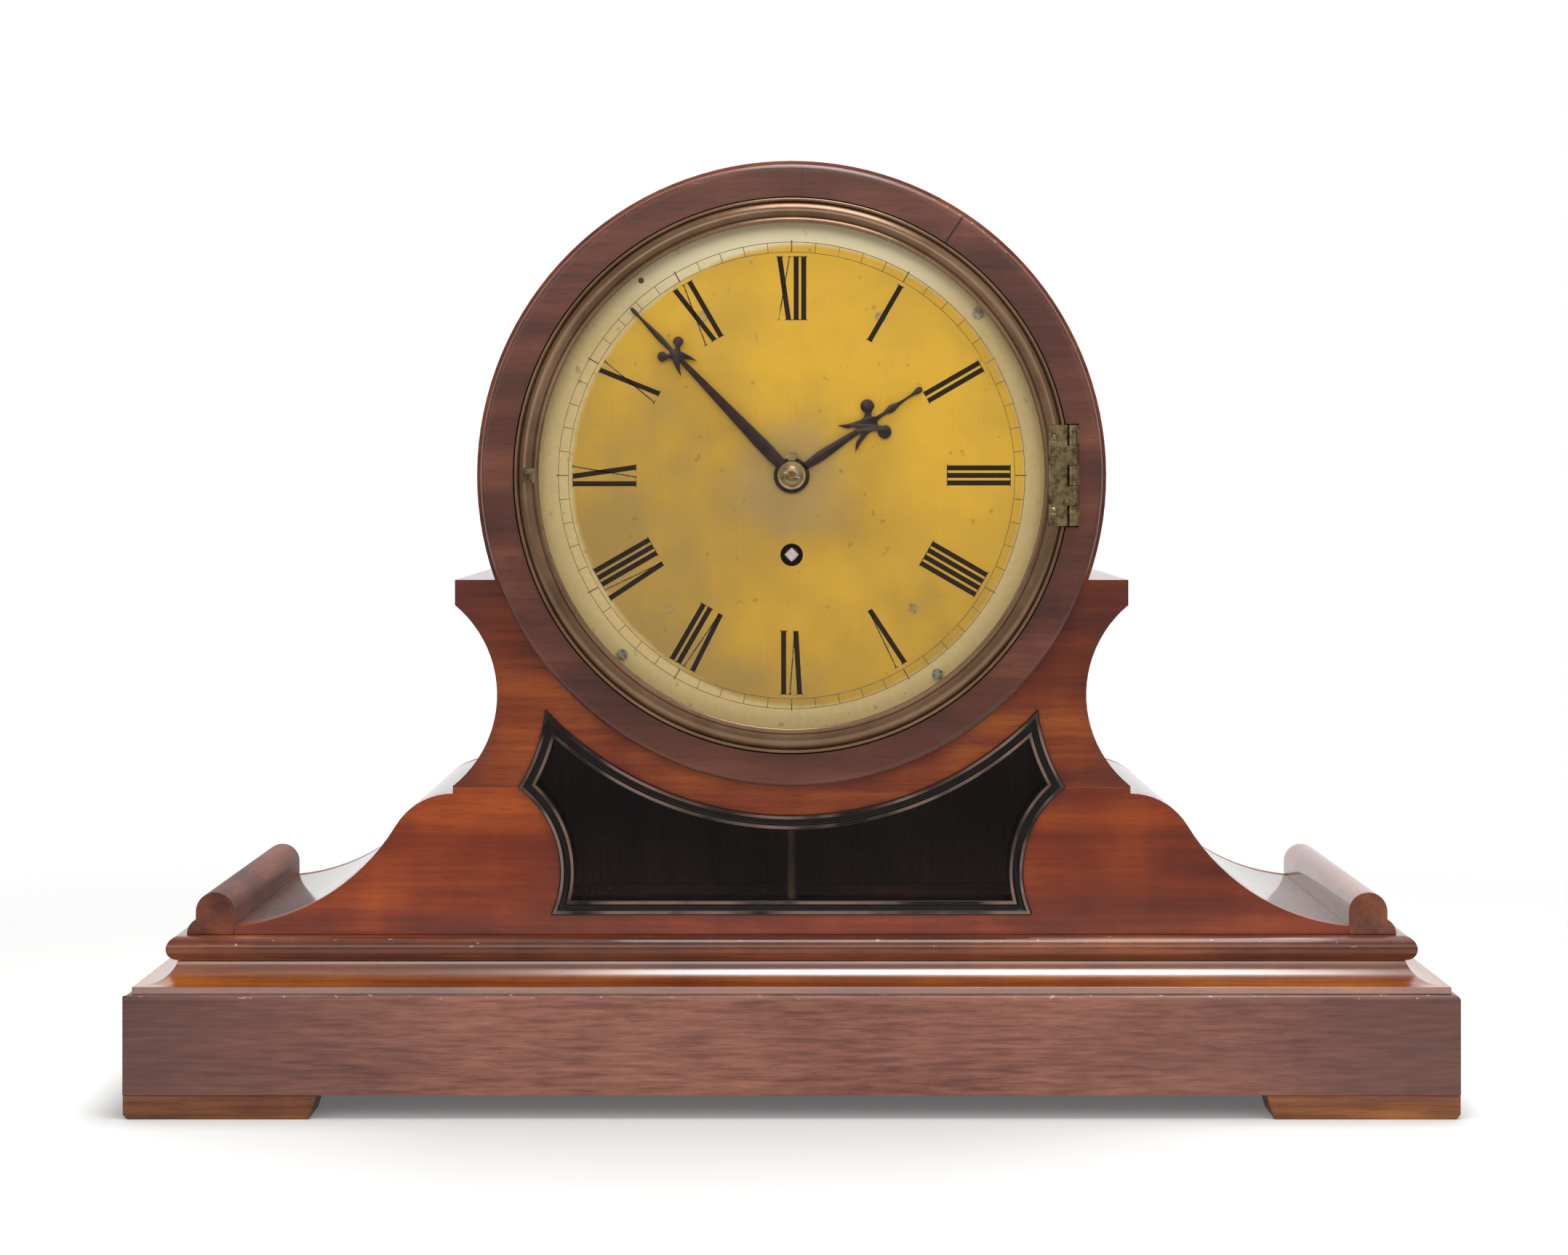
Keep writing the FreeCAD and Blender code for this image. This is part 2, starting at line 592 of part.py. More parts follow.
def front_board_upper():
    upper = front_board().cut(front_board_lower())
    for angle in DIAL_SCREW_ANGLES:
        at = by_clock(DIAL_SCREW_CIRCLE, angle)
        upper = upper.cut(disc(at, DIAL_SCREW_SHANK, BOARD_FACE, BOARD_FACE + DIAL_SCREW_LENGTH))
    return upper


def deck_right():
    """The bent sheet over the right shoulder, with its wall on the inside."""
    inner_convex = SHOULDER_RADIUS - DECK_WALL
    inner_sweep = SWEEP_RADIUS + DECK_WALL
    start = WAIST_HALF - 4.0
    end_z = on_circle_z(SWEEP_CENTRE, SWEEP_RADIUS, ROLL_INNER, -1)
    inner_end_x = on_circle_x(SWEEP_CENTRE, inner_sweep, CASE_FLOOR, -1)
    if inner_end_x < meeting()[0]:
        inner_end_x = meeting()[0]
    inner_end = (inner_end_x, CASE_FLOOR)
    inner_meeting = (
        SHOULDER_CENTRE[0] + inner_convex * SWEEP_DIRECTION[0],
        SHOULDER_CENTRE[1] + inner_convex * SWEEP_DIRECTION[1],
    )
    edges = [
        line((start, SHOULDER_Z), (SHOULDER_HALF, SHOULDER_Z)),
        arc(SHOULDER_CENTRE, (SHOULDER_HALF, SHOULDER_Z), meeting()),
        arc(SWEEP_CENTRE, meeting(), (ROLL_INNER, end_z)),
        line((ROLL_INNER, end_z), (ROLL_INNER, CASE_FLOOR)),
        line((ROLL_INNER, CASE_FLOOR), inner_end),
        arc(SWEEP_CENTRE, inner_end, inner_meeting),
        arc(SHOULDER_CENTRE, inner_meeting, (SHOULDER_HALF, SHOULDER_Z - DECK_WALL)),
        line((SHOULDER_HALF, SHOULDER_Z - DECK_WALL), (start, SHOULDER_Z - DECK_WALL)),
        line((start, SHOULDER_Z - DECK_WALL), (start, SHOULDER_Z)),
    ]
    return slab(Part.Wire(edges), BOARD_BACK, BACK_FACE)


def waist_side_right():
    """The hollowed upright between the ear and the shoulder."""
    inner_radius = WAIST_RADIUS + WAIST_WALL
    waist_foot_z = on_circle_z(WAIST_CENTRE, WAIST_RADIUS, SHOULDER_HALF, -1)
    ear_foot = (EAR_HALF, on_circle_z(WAIST_CENTRE, WAIST_RADIUS, EAR_HALF, 1))
    inner_top = ear_root(DRUM_RADIUS - SHELL_WALL)
    inner_shoulder = (
        on_circle_x(WAIST_CENTRE, inner_radius, SHOULDER_Z, -1), SHOULDER_Z
    )
    inner_ear_z = (WAIST_CENTRE[1] + EAR_TOP) / 2
    inner_ear = (on_circle_x(WAIST_CENTRE, inner_radius, inner_ear_z, -1), inner_ear_z)
    edges = [
        line(inner_shoulder, (SHOULDER_HALF, SHOULDER_Z)),
        line((SHOULDER_HALF, SHOULDER_Z), (SHOULDER_HALF, waist_foot_z)),
        arc(WAIST_CENTRE, (SHOULDER_HALF, waist_foot_z), ear_foot),
        line(ear_foot, (EAR_HALF, EAR_TOP)),
        line((EAR_HALF, EAR_TOP), inner_top),
        line(inner_top, inner_ear),
        arc(WAIST_CENTRE, inner_ear, inner_shoulder),
    ]
    return slab(Part.Wire(edges), BOARD_BACK, BACK_FACE)


def drum_shell():
    """The bent round top of the case, from ear to ear."""
    ring = tube((0.0, DIAL_Z), DRUM_RADIUS, DRUM_RADIUS - SHELL_WALL, BOARD_BACK, BACK_FACE)
    above = block(
        -DRUM_RADIUS, DRUM_RADIUS, BOARD_BACK, BACK_FACE, EAR_TOP, DIAL_Z + DRUM_RADIUS
    )
    return ring.common(above)


def roll_right():
    """The half-round bar at the end of the shoulder, with a flared outer foot."""
    axis = (ROLL_X, CASE_FLOOR + ROLL_AXIS_RISE)
    outer = ROLL_X + ROLL_RADIUS
    flare_z = CASE_FLOOR + ROLL_FLARE_RISE
    edges = [
        line((ROLL_INNER, CASE_FLOOR), (ROLL_INNER, axis[1])),
        Part.Arc(
            point(ROLL_INNER, axis[1]), point(ROLL_X, axis[1] + ROLL_RADIUS), point(outer, axis[1])
        ).toShape(),
        line((outer, axis[1]), (outer, flare_z)),
        bulged((outer, flare_z), (outer + ROLL_FLARE, CASE_FLOOR), ROLL_FLARE_RISE / 6),
        line((outer + ROLL_FLARE, CASE_FLOOR), (ROLL_INNER, CASE_FLOOR)),
    ]
    return slab(Part.Wire(edges), BOARD_FACE, CASE_BACK)


def door_slab(gap, front, back):
    """The back door's outline, smaller than its opening by gap all round."""
    half = DOOR_HALF - gap
    foot_z = CASE_FLOOR + DOOR_FOOT_RISE + gap
    radius = DOOR_ARCH_RADIUS - gap
    spring_z = on_circle_z((0.0, DIAL_Z), radius, half, 1)
    wire = Part.Wire([
        line((-half, foot_z), (half, foot_z)),
        line((half, foot_z), (half, spring_z)),
        arc((0.0, DIAL_Z), (half, spring_z), (-half, spring_z)),
        line((-half, spring_z), (-half, foot_z)),
    ])
    return slab(wire, front, back)


def back_board():
    """The back, with an arched doorway and a lip inside it that the door closes on."""
    lip = CASE_BACK - DOOR_THICKNESS - DOOR_STOP_GAP
    whole = both_sides(case_half(BACK_FACE, CASE_BACK))
    whole = whole.cut(door_slab(DOOR_STOP, BACK_FACE, lip))
    return whole.cut(door_slab(0.0, lip, CASE_BACK))


# ---- window
def window_moulding():
    """Two beads with a hollow between, round the glass."""
    face = BOARD_FACE - WINDOW_PROUD
    back = BOARD_BACK
    rebate = WINDOW_MOULDING / 2
    whole = slab(window_wire(0.0), face, back)
    whole = whole.cut(slab(window_wire(WINDOW_MOULDING), face, back))
    whole = whole.cut(slab(window_wire(rebate), back - GLASS * 2, back))
    trough = slab(window_wire(WINDOW_BEAD), face, face + WINDOW_HOLLOW)
    trough = trough.cut(slab(window_wire(WINDOW_MOULDING - WINDOW_BEAD), face, face + WINDOW_HOLLOW))
    return whole.cut(trough)


def window_glass():
    front = BOARD_BACK - GLASS * 2
    return slab(window_wire(WINDOW_MOULDING / 2), front, front + GLASS)


# ---- dial, surround and bezel
def hinge_recess(gap):
    """The space that the bezel's hinge needs in the surround."""
    axis_x = BEZEL_RADIUS + BEZEL_HINGE_OFFSET
    return block(
        BEZEL_SIGHT_RADIUS, axis_x + BEZEL_HINGE_RADIUS + gap, SURROUND_FACE, BOARD_FACE,
        DIAL_Z - BEZEL_HINGE_HALF - gap, DIAL_Z + BEZEL_HINGE_HALF + gap,
    )


def drum_surround():
    """The raised ring round the bezel, its outer edge rounded."""
    at = (0.0, DIAL_Z)
    ring = disc(at, SURROUND_RADIUS, SURROUND_FACE, BOARD_FACE)
    rim = [edge for edge in ring.Edges if abs(edge.BoundBox.YMin - SURROUND_FACE) < 0.01
           and edge.BoundBox.YLength < 0.01]
    ring = ring.makeFillet(SURROUND_ROUND, rim)
    ring = ring.cut(disc(at, BEZEL_RADIUS + BEZEL_GAP, SURROUND_FACE, BOARD_FACE))
    return ring.cut(hinge_recess(BEZEL_GAP))


def dial_plate():
    """The brass dial with its holes and the four feet that carry the movement."""
    at = (0.0, DIAL_Z)
    plate = disc(at, DIAL_RADIUS, DIAL_FACE, BOARD_FACE)
    plate = plate.cut(disc(at, HOUR_PIPE_RADIUS + 0.4, DIAL_FACE, BOARD_FACE))
    plate = plate.cut(disc(on_dial(FUSEE_AT), WINDING_HOLE / 2, DIAL_FACE, BOARD_FACE))
    for angle in DIAL_SCREW_ANGLES + (DIAL_EMPTY_ANGLE,):
        hole = disc(by_clock(DIAL_SCREW_CIRCLE, angle), DIAL_SCREW_SHANK, DIAL_FACE, BOARD_FACE)
        plate = plate.cut(hole)
    for place in dial_foot_places():
        plate = plate.fuse(disc(place, DIAL_FOOT_RADIUS, BOARD_FACE, PLATE_INNER + PLATE_PROUD))
    return plate.removeSplitter()


def dial_foot_places():
    spots = []
    for across, up in (FOOT_UPPER, FOOT_LOWER):
        spots.append(on_dial((across, up)))
        spots.append(on_dial((-across, up)))
    return spots


def cross_pins(places, depth, reach, radius):
    """Small upright pins behind a plate, one beside each foot or pillar end."""
    pins = []
    for x, z in places:
        base = FreeCAD.Vector(x, depth, z - reach)
        pins.append(Part.makeCylinder(radius, 2 * reach, base, FreeCAD.Vector(0, 0, 1)))
    return pins


def foot_pin_shapes():
    return cross_pins(dial_foot_places(), DIAL_PIN_Y, FOOT_PIN_REACH, FOOT_PIN_RADIUS)


def dial_foot_pins():
    return Part.makeCompound(foot_pin_shapes())


def dial_with_pin_holes():
    plate = dial_plate()
    for pin in foot_pin_shapes():
        plate = plate.cut(pin)
    return plate


def dial_screws():
    """Slotted cheese-head screws through the edge of the dial."""
    screws = []
    for angle in DIAL_SCREW_ANGLES:
        at = by_clock(DIAL_SCREW_CIRCLE, angle)
        head = disc(at, DIAL_SCREW_HEAD, DIAL_FACE - 0.9, DIAL_FACE)
        shank = disc(at, DIAL_SCREW_SHANK, DIAL_FACE, BOARD_FACE + DIAL_SCREW_LENGTH)
        slot = block(
            at[0] - DIAL_SCREW_HEAD, at[0] + DIAL_SCREW_HEAD, DIAL_FACE - 0.9, DIAL_FACE - 0.4,
            at[1] - 0.3, at[1] + 0.3,
        )
        screws.append(head.fuse(shank).cut(spun(slot, at, angle)).removeSplitter())
    return Part.makeCompound(screws)


def bezel():
    """The turned brass ring that holds the glass."""
    back = BOARD_FACE - BEZEL_BACK_GAP
    glass_seat = BEZEL_FACE + BEZEL_LIP
    outer, sight = BEZEL_RADIUS, BEZEL_SIGHT_RADIUS
    seat = sight + GLASS_SEAT
    step = SURROUND_FACE - BEZEL_STEP_PROUD
    ring = turned((0.0, DIAL_Z), [
        (outer, back),
        (outer, step),
        (outer - 1.0, step - 0.8),
        (outer - 2.6, step - 0.8),
        (outer - 3.2, step),
        (outer - 6.4, step - 1.6),
        (sight + 2.4, BEZEL_FACE),
        (sight, BEZEL_FACE),
        (sight, glass_seat),
        (seat, glass_seat),
        (seat, glass_seat + BEZEL_GLASS + 0.8),
        (DIAL_RADIUS + 0.9, glass_seat + BEZEL_GLASS + 3.0),
        (DIAL_RADIUS + 0.9, back),
    ])
    return ring.cut(leaf_space()).cut(catch_slot())


def bezel_glass():
    glass_seat = BEZEL_FACE + BEZEL_LIP
    return disc((0.0, DIAL_Z), BEZEL_SIGHT_RADIUS + GLASS_SEAT, glass_seat, glass_seat + BEZEL_GLASS)


def upright(x, y, radius, z0, z1):
    return Part.makeCylinder(radius, z1 - z0, FreeCAD.Vector(x, y, z0))


def knuckles(axis, radius, z0, z1, count, gap, chosen):
    """Every other length of a hinge barrel; chosen is 0 or 1."""
    length = (z1 - z0) / count
    parts = []
    for index in range(count):
        if index % 2 == chosen:
            low = z0 + index * length + (gap / 2 if index else 0.0)
            high = z0 + (index + 1) * length - (gap / 2 if index < count - 1 else 0.0)
            parts.append(upright(axis[0], axis[1], radius, low, high))
    return parts


def leaf_plate(z0, z1, right):
    """A length of the bezel's leaf, from its inner edge to the depth right along X."""
    front = HINGE_AXIS[1] - BEZEL_HINGE_RADIUS
    return block(HINGE_AXIS[0] - BEZEL_LEAF_REACH, right, front, front + BEZEL_LEAF, z0, z1)


def leaf_space():
    """The bezel is cut away for the hinge barrel and for the leaf let into it."""
    barrel = upright(HINGE_AXIS[0], HINGE_AXIS[1], BARREL_CLEAR, HINGE_Z[0] - 0.3, HINGE_Z[1] + 0.3)
    above = leaf_plate(*HINGE_Z, HINGE_AXIS[0])
    above = above.fuse(above.translated(FreeCAD.Vector(0, -BEZEL_LEAF, 0)))
    return barrel.fuse(above)


def bezel_hinge_fixed():
    """The leaf let into the surround, with two knuckles and two screws."""
    axis_x, axis_y = HINGE_AXIS
    barrel = knuckles(HINGE_AXIS, BEZEL_HINGE_RADIUS, *HINGE_Z, BEZEL_KNUCKLES, 0.3, 0)
    web_x = axis_x + BEZEL_HINGE_RADIUS + BEZEL_GAP
    foot_y = BOARD_FACE
    parts = []
    for knuckle in barrel:
        box = knuckle.BoundBox
        web = block(axis_x + 0.6, web_x, axis_y, foot_y, box.ZMin, box.ZMax)
        parts.append(knuckle.fuse(web))
    spine = block(web_x - 1.0, web_x, axis_y + BARREL_CLEAR, foot_y, *HINGE_Z)
    leaf = fused(parts + [spine])
    return leaf.cut(upright(axis_x, axis_y, BEZEL_PIN_RADIUS, *HINGE_Z))


def bezel_hinge_leaf():
    """The leaf on the bezel, with the knuckles between."""
    axis_x, axis_y = HINGE_AXIS
    barrel = knuckles(HINGE_AXIS, BEZEL_HINGE_RADIUS, *HINGE_Z, BEZEL_KNUCKLES, 0.3, 1)
    parts = [leaf_plate(*HINGE_Z, axis_x - BARREL_CLEAR)]
    for knuckle in barrel:
        box = knuckle.BoundBox
        parts.append(knuckle.fuse(leaf_plate(box.ZMin, box.ZMax, axis_x)))
    bore = upright(axis_x, axis_y, BEZEL_PIN_RADIUS + PIVOT_CLEARANCE, *HINGE_Z)
    return fused(parts).cut(bore)


def bezel_hinge_pin():
    return upright(HINGE_AXIS[0], HINGE_AXIS[1], BEZEL_PIN_RADIUS, *HINGE_Z)


def catch_slot():
    """The slot in the bezel that the catch slides in."""
    inner, outer = CATCH_RADIAL
    half = CATCH_HALF + SLIDE_GAP
    return block(-outer - SLIDE_GAP, -inner + CATCH_TRAVEL + SLIDE_GAP, BEZEL_FACE - 1.0,
                 SURROUND_FACE + 1.5, DIAL_Z - half, DIAL_Z + half)


def bezel_catch():
    """The small sliding catch at nine o'clock, with a cross cut to push it by."""
    inner, outer = CATCH_RADIAL
    body = block(-outer, -inner, BEZEL_FACE + 0.4, SURROUND_FACE + 1.5, DIAL_Z - CATCH_HALF,
                 DIAL_Z + CATCH_HALF)
    cut = block(-outer, -inner, BEZEL_FACE + 0.4, BEZEL_FACE + 1.4, DIAL_Z - 0.7, DIAL_Z + 0.7)
    return body.cut(cut)


# ---- movement frame
def plate_outline():
    return [
        (-PLATE_BOTTOM_HALF, DIAL_Z + PLATE_BOTTOM),
        (PLATE_BOTTOM_HALF, DIAL_Z + PLATE_BOTTOM),
        (PLATE_TOP_HALF, DIAL_Z + PLATE_TOP),
        (-PLATE_TOP_HALF, DIAL_Z + PLATE_TOP),
    ]


def pillar_places():
    spots = []
    for across, up in (PILLAR_LOWER, PILLAR_UPPER):
        spots.append(on_dial((across, up)))
        spots.append(on_dial((-across, up)))
    return spots


def arbor_holes(front, back):
    """Pivot holes that both plates share."""
    holes = []
    for at in (THIRD_AT, ESCAPE_AT, PALLET_AT):
        holes.append(disc(on_dial(at), ARBOR_RADIUS + PIVOT_CLEARANCE, front, back))
    holes.append(disc(on_dial(CENTRE_AT), CENTRE_ARBOR + PIVOT_CLEARANCE, front, back))
    holes.append(disc(on_dial(FUSEE_AT), FUSEE_ARBOR + PIVOT_CLEARANCE, front, back))
    holes.append(disc(on_dial(BARREL_AT), BARREL_ARBOR, front, back))
    for place in pillar_places():
        holes.append(disc(place, PILLAR_TENON, front, back))
    return holes


def front_plate():
    plate = polygon(plate_outline(), PLATE_FRONT, PLATE_INNER)
    for hole in arbor_holes(PLATE_FRONT, PLATE_INNER):
        plate = plate.cut(hole)
    for place in dial_foot_places():
        plate = plate.cut(disc(place, DIAL_FOOT_RADIUS, PLATE_FRONT, PLATE_INNER))
    stud = disc(on_dial(MOTION_AT), MOTION_STUD, PLATE_FRONT - 7.0, PLATE_FRONT)
    stop_stud = disc(on_dial(STOP_AT), STOP_STUD, PLATE_INNER, STOP_Y + 2.6)
    click_stud = disc(on_dial(CLICK_AT), CLICK_STUD, PLATE_FRONT - 3.4, PLATE_FRONT)
    return fused([plate, stud, stop_stud, click_stud])


def back_plate():
    plate = polygon(plate_outline(), BACK_PLATE, BACK_PLATE_BACK)
    for hole in arbor_holes(BACK_PLATE, BACK_PLATE_BACK):
        plate = plate.cut(hole)
    return plate


def pillars():
    """Turned pillars, each with a swelling in the middle and a tenon at each end."""
    mid = (PLATE_INNER + BACK_PLATE) / 2
    rods = []
    for place in pillar_places():
        rods.append(turned(place, [
            (0.0, PLATE_FRONT - PLATE_PROUD),
            (PILLAR_TENON, PLATE_FRONT - PLATE_PROUD),
            (PILLAR_TENON, PLATE_INNER),
            (PILLAR_RADIUS, PLATE_INNER),
            (PILLAR_RADIUS, PLATE_INNER + 3.0),
            (PILLAR_RADIUS - 1.5, PLATE_INNER + 6.0),
            (PILLAR_RADIUS - 1.0, mid),
            (PILLAR_RADIUS - 1.5, BACK_PLATE - 6.0),
            (PILLAR_RADIUS, BACK_PLATE - 3.0),
            (PILLAR_RADIUS, BACK_PLATE),
            (PILLAR_TENON, BACK_PLATE),
            (PILLAR_TENON, BACK_PLATE_BACK),
            (0.0, BACK_PLATE_BACK),
        ]))
    whole = Part.makeCompound(rods)
    for pin in pin_shapes():
        whole = whole.cut(pin)
    return whole


def pin_shapes():
    return cross_pins(pillar_places(), PLATE_FRONT - 1.0, PIN_REACH, PIN_RADIUS)


def pillar_pins():
    return Part.makeCompound(pin_shapes())


def back_cock():
    """The bridge behind the back plate that the pendulum hangs from."""
    z0, z1 = (DIAL_Z + PALLET_AT[1] + rise for rise in COCK_RISES)
    back = BACK_PLATE_BACK + COCK_REACH
    legs = [
        block(side - COCK_BAR, side + COCK_BAR, BACK_PLATE_BACK, back, z0, z1)
        for side in (-COCK_HALF, COCK_HALF)
    ]
    bar = block(-COCK_HALF, COCK_HALF, back - COCK_BAR, back, z0, z1)
    hanger = block(-4.0, 4.0, PENDULUM_Y - 3.0, back, z0, z1)
    whole = fused(legs + [bar, hanger])
    slit = block(-SPRING_ROOM, SPRING_ROOM, PENDULUM_Y - 3.0, PENDULUM_Y + SPRING_WIDTH / 2 + 0.2,
                 z0, z0 + 6.0)
    return fused([whole.cut(slit), pallet_arm(z0)])


def pallet_arm(z0):
    """The arm of the cock that the pallet arbor turns in, on the back plate."""
    back = BACK_PLATE_BACK + COCK_BAR
    arm = block(-3.0, 3.0, BACK_PLATE_BACK, back, DIAL_Z + PALLET_AT[1] - 4.0, z0 + 2.0)
    arm = arm.fuse(block(-COCK_HALF, COCK_HALF, BACK_PLATE_BACK, back, z0, z0 + 4.0))
    return arm.cut(disc(on_dial(PALLET_AT), ARBOR_RADIUS + PIVOT_CLEARANCE, BACK_PLATE_BACK, back))


# ---- wheels
def tooth_ring(teeth, root, tip, root_share, tip_share, phase):
    """Corners of a toothed outline. The shares are of one pitch; phase is in degrees from +X."""
    corners = []
    pitch = 2 * math.pi / teeth
    for index in range(teeth):
        middle = math.radians(phase) + index * pitch
        flanks = ((root, -root_share), (tip, -tip_share), (tip, tip_share), (root, root_share))
        for radius, share in flanks:
            angle = middle + share * pitch / 2
            corners.append((radius * math.cos(angle), radius * math.sin(angle)))
    return corners


def toothed(at, teeth, module, phase, front, back, leaf=False):
    """A wheel, or with leaf a pinion, as a solid disc with teeth."""
    pitch_radius = teeth * module / 2
    root = pitch_radius - TOOTH_ROOT * module
    tip = pitch_radius + (LEAF_TIP if leaf else TOOTH_TIP) * module
    root_share, tip_share = LEAF_SHARES if leaf else TOOTH_SHARES
    x, z = on_dial(at)
    corners = tooth_ring(teeth, root, tip, root_share, tip_share, phase)
    return polygon([(x + a, z + b) for a, b in corners], front, back)


def crossed(wheel, at, rim, hub, arms, width, front, back):
    """A wheel with its web cut out between the arms."""
    place = on_dial(at)
    web = tube(place, rim, hub, front, back)
    for index in range(arms):
        left, right = place[0] - width / 2, place[0] + width / 2
        arm = block(left, right, front, back, place[1], place[1] + rim + 1)
        web = web.cut(spun(arm, place, index * 360.0 / arms))
    return wheel.cut(web)


def direction(a, b):
    """Degrees from +X of the way from one arbor to another."""
    return math.degrees(math.atan2(b[1] - a[1], b[0] - a[0]))


def mating_phase(a, b, teeth):
    """Phase that turns a gap of the pinion at b towards the wheel at a."""
    return direction(b, a) + 180.0 / teeth


def great_wheel():
    """The wheel at the foot of the fusee, free on the fusee's arbor for winding."""
    wheel = toothed(FUSEE_AT, GREAT_TEETH, GREAT_MODULE, direction(FUSEE_AT, CENTRE_AT), *GREAT_Y)
    rim = GREAT_TEETH * GREAT_MODULE / 2 - 4.0
    wheel = crossed(wheel, FUSEE_AT, rim, 13.0, 4, 5.0, *GREAT_Y)
    return wheel.cut(disc(on_dial(FUSEE_AT), FUSEE_ARBOR + PIVOT_CLEARANCE, *GREAT_Y))


def fusee_radius(share):
    """Radius of the fusee's cone, at a share of its length from the small end."""
    return 1 / (1 / FUSEE_SMALL + (1 / FUSEE_LARGE - 1 / FUSEE_SMALL) * share)


def fusee():
    """The grooved cone on its arbor, with the winding square at the front."""
    at = on_dial(FUSEE_AT)
    front, back = FUSEE_Y
    step = FUSEE_LENGTH / FUSEE_GROOVES
    profile = [(0.0, front), (FUSEE_SMALL + 2.0, front)]
    for index in range(FUSEE_GROOVES):
        radius = fusee_radius((index + 0.5) / FUSEE_GROOVES)
        profile.append((radius + 0.2, front + step * (index + 0.2)))
        profile.append((radius - 1.0, front + step * (index + 0.6)))
        profile.append((radius + 0.6, front + step * (index + 0.95)))
    profile += [(FUSEE_LARGE + 1.0, back), (0.0, back)]
    cone = turned(at, profile)
    arbor = disc(at, FUSEE_ARBOR, PLATE_FRONT - 1.0, BACK_PLATE_BACK)
    half = WINDING_SQUARE / 2
    square = block(at[0] - half, at[0] + half, BOARD_FACE + WINDING_SQUARE_INSET, PLATE_FRONT - 1.0,
                   at[1] - half, at[1] + half)
    return fused([cone, arbor, spun(square, at, 45.0)])


def arbor_with(at, radius, front, back, extra):
    return fused([disc(on_dial(at), radius, front, back)] + extra)


def centre_wheel():
    """Centre arbor, driven at its back end and carrying the hands in front."""
    wheel = toothed(CENTRE_AT, CENTRE_TEETH, CENTRE_MODULE, direction(CENTRE_AT, THIRD_AT), *CENTRE_Y)
    rim = CENTRE_TEETH * CENTRE_MODULE / 2 - 3.2
    wheel = crossed(wheel, CENTRE_AT, rim, 5.0, 4, 2.6, *CENTRE_Y)
    pinion = toothed(
        CENTRE_AT, CENTRE_PINION, GREAT_MODULE, mating_phase(FUSEE_AT, CENTRE_AT, CENTRE_PINION),
        GREAT_Y[0] - 1.5, GREAT_Y[1] + 1.0, leaf=True,
    )
    front = COLLET_Y - COLLET_HEIGHT - 1.4
    train = arbor_with(CENTRE_AT, CENTRE_ARBOR, front, BACK_PLATE_BACK, [wheel, pinion])
    return train.cut(hand_pin())


def third_wheel():
    wheel = toothed(THIRD_AT, THIRD_TEETH, THIRD_MODULE, direction(THIRD_AT, ESCAPE_AT), *THIRD_Y)
    rim = THIRD_TEETH * THIRD_MODULE / 2 - 3.0
    wheel = crossed(wheel, THIRD_AT, rim, 4.5, 4, 2.4, *THIRD_Y)
    pinion = toothed(
        THIRD_AT, THIRD_PINION, CENTRE_MODULE, mating_phase(CENTRE_AT, THIRD_AT, THIRD_PINION),
        CENTRE_Y[0] - 1.0, CENTRE_Y[1] + 1.5, leaf=True,
    )
    return arbor_with(THIRD_AT, ARBOR_RADIUS, PLATE_FRONT, BACK_PLATE_BACK, [wheel, pinion])


def escape_wheel():
    """Pointed teeth, leaning forward, on a crossed-out wheel."""
    x, z = on_dial(ESCAPE_AT)
    root = ESCAPE_RADIUS - 2.6
    pitch = 2 * math.pi / ESCAPE_TEETH
    corners = []
    for index in range(ESCAPE_TEETH):
        middle = math.pi / 2 - math.radians(ESCAPE_LEAD) - index * pitch
        for radius, share in ((root, 0.45), (ESCAPE_RADIUS, 0.06), (ESCAPE_RADIUS, 0.0), (root, 0.05)):
            angle = middle + share * pitch
            corners.append((x + radius * math.cos(angle), z + radius * math.sin(angle)))
    wheel = polygon(corners, *ESCAPE_Y)
    wheel = crossed(wheel, ESCAPE_AT, ESCAPE_RADIUS - 4.2, 3.4, 4, 1.8, *ESCAPE_Y)
    pinion = toothed(
        ESCAPE_AT, ESCAPE_PINION, THIRD_MODULE, mating_phase(THIRD_AT, ESCAPE_AT, ESCAPE_PINION),
        THIRD_Y[0] - 1.5, THIRD_Y[1] + 1.5, leaf=True,
    )
    return arbor_with(ESCAPE_AT, ARBOR_RADIUS, PLATE_FRONT, BACK_PLATE_BACK, [wheel, pinion])


def strip(a, b, width_a, width_b, front, back):
    """A flat bar from one place to another, tapering from one width to the other."""
    length = math.dist(a, b)
    across = ((b[1] - a[1]) / length / 2, (a[0] - b[0]) / length / 2)
    return polygon([
        (a[0] + across[0] * width_a, a[1] + across[1] * width_a),
        (b[0] + across[0] * width_b, b[1] + across[1] * width_b),
        (b[0] - across[0] * width_b, b[1] - across[1] * width_b),
        (a[0] - across[0] * width_a, a[1] - across[1] * width_a),
    ], front, back)


def anchor():
    """The two pallets on their arbor, over the escape wheel."""
    axis = on_dial(PALLET_AT)
    half = math.radians(PALLET_SPAN / 2)
    wheel_z = DIAL_Z + ESCAPE_AT[1]
    near = ESCAPE_RADIUS + PALLET_CLEARANCE
    far = near + NIB_LENGTH
    tip = (near * math.sin(half), wheel_z + near * math.cos(half))
    heel = (far * math.sin(half), wheel_z + far * math.cos(half))
    nib = strip(heel, tip, NIB_WIDTH * 3, NIB_WIDTH, *ESCAPE_Y)
    arm = strip(axis, heel, 4.4, 3.0, *ESCAPE_Y)
    hub = disc(axis, 4.0, ESCAPE_Y[0] - 2.0, ESCAPE_Y[1])
    rod = disc(axis, ARBOR_RADIUS, PLATE_FRONT, BACK_PLATE_BACK + 7.0)
    return fused([arm, nib, mirrored(arm), mirrored(nib), hub, rod])


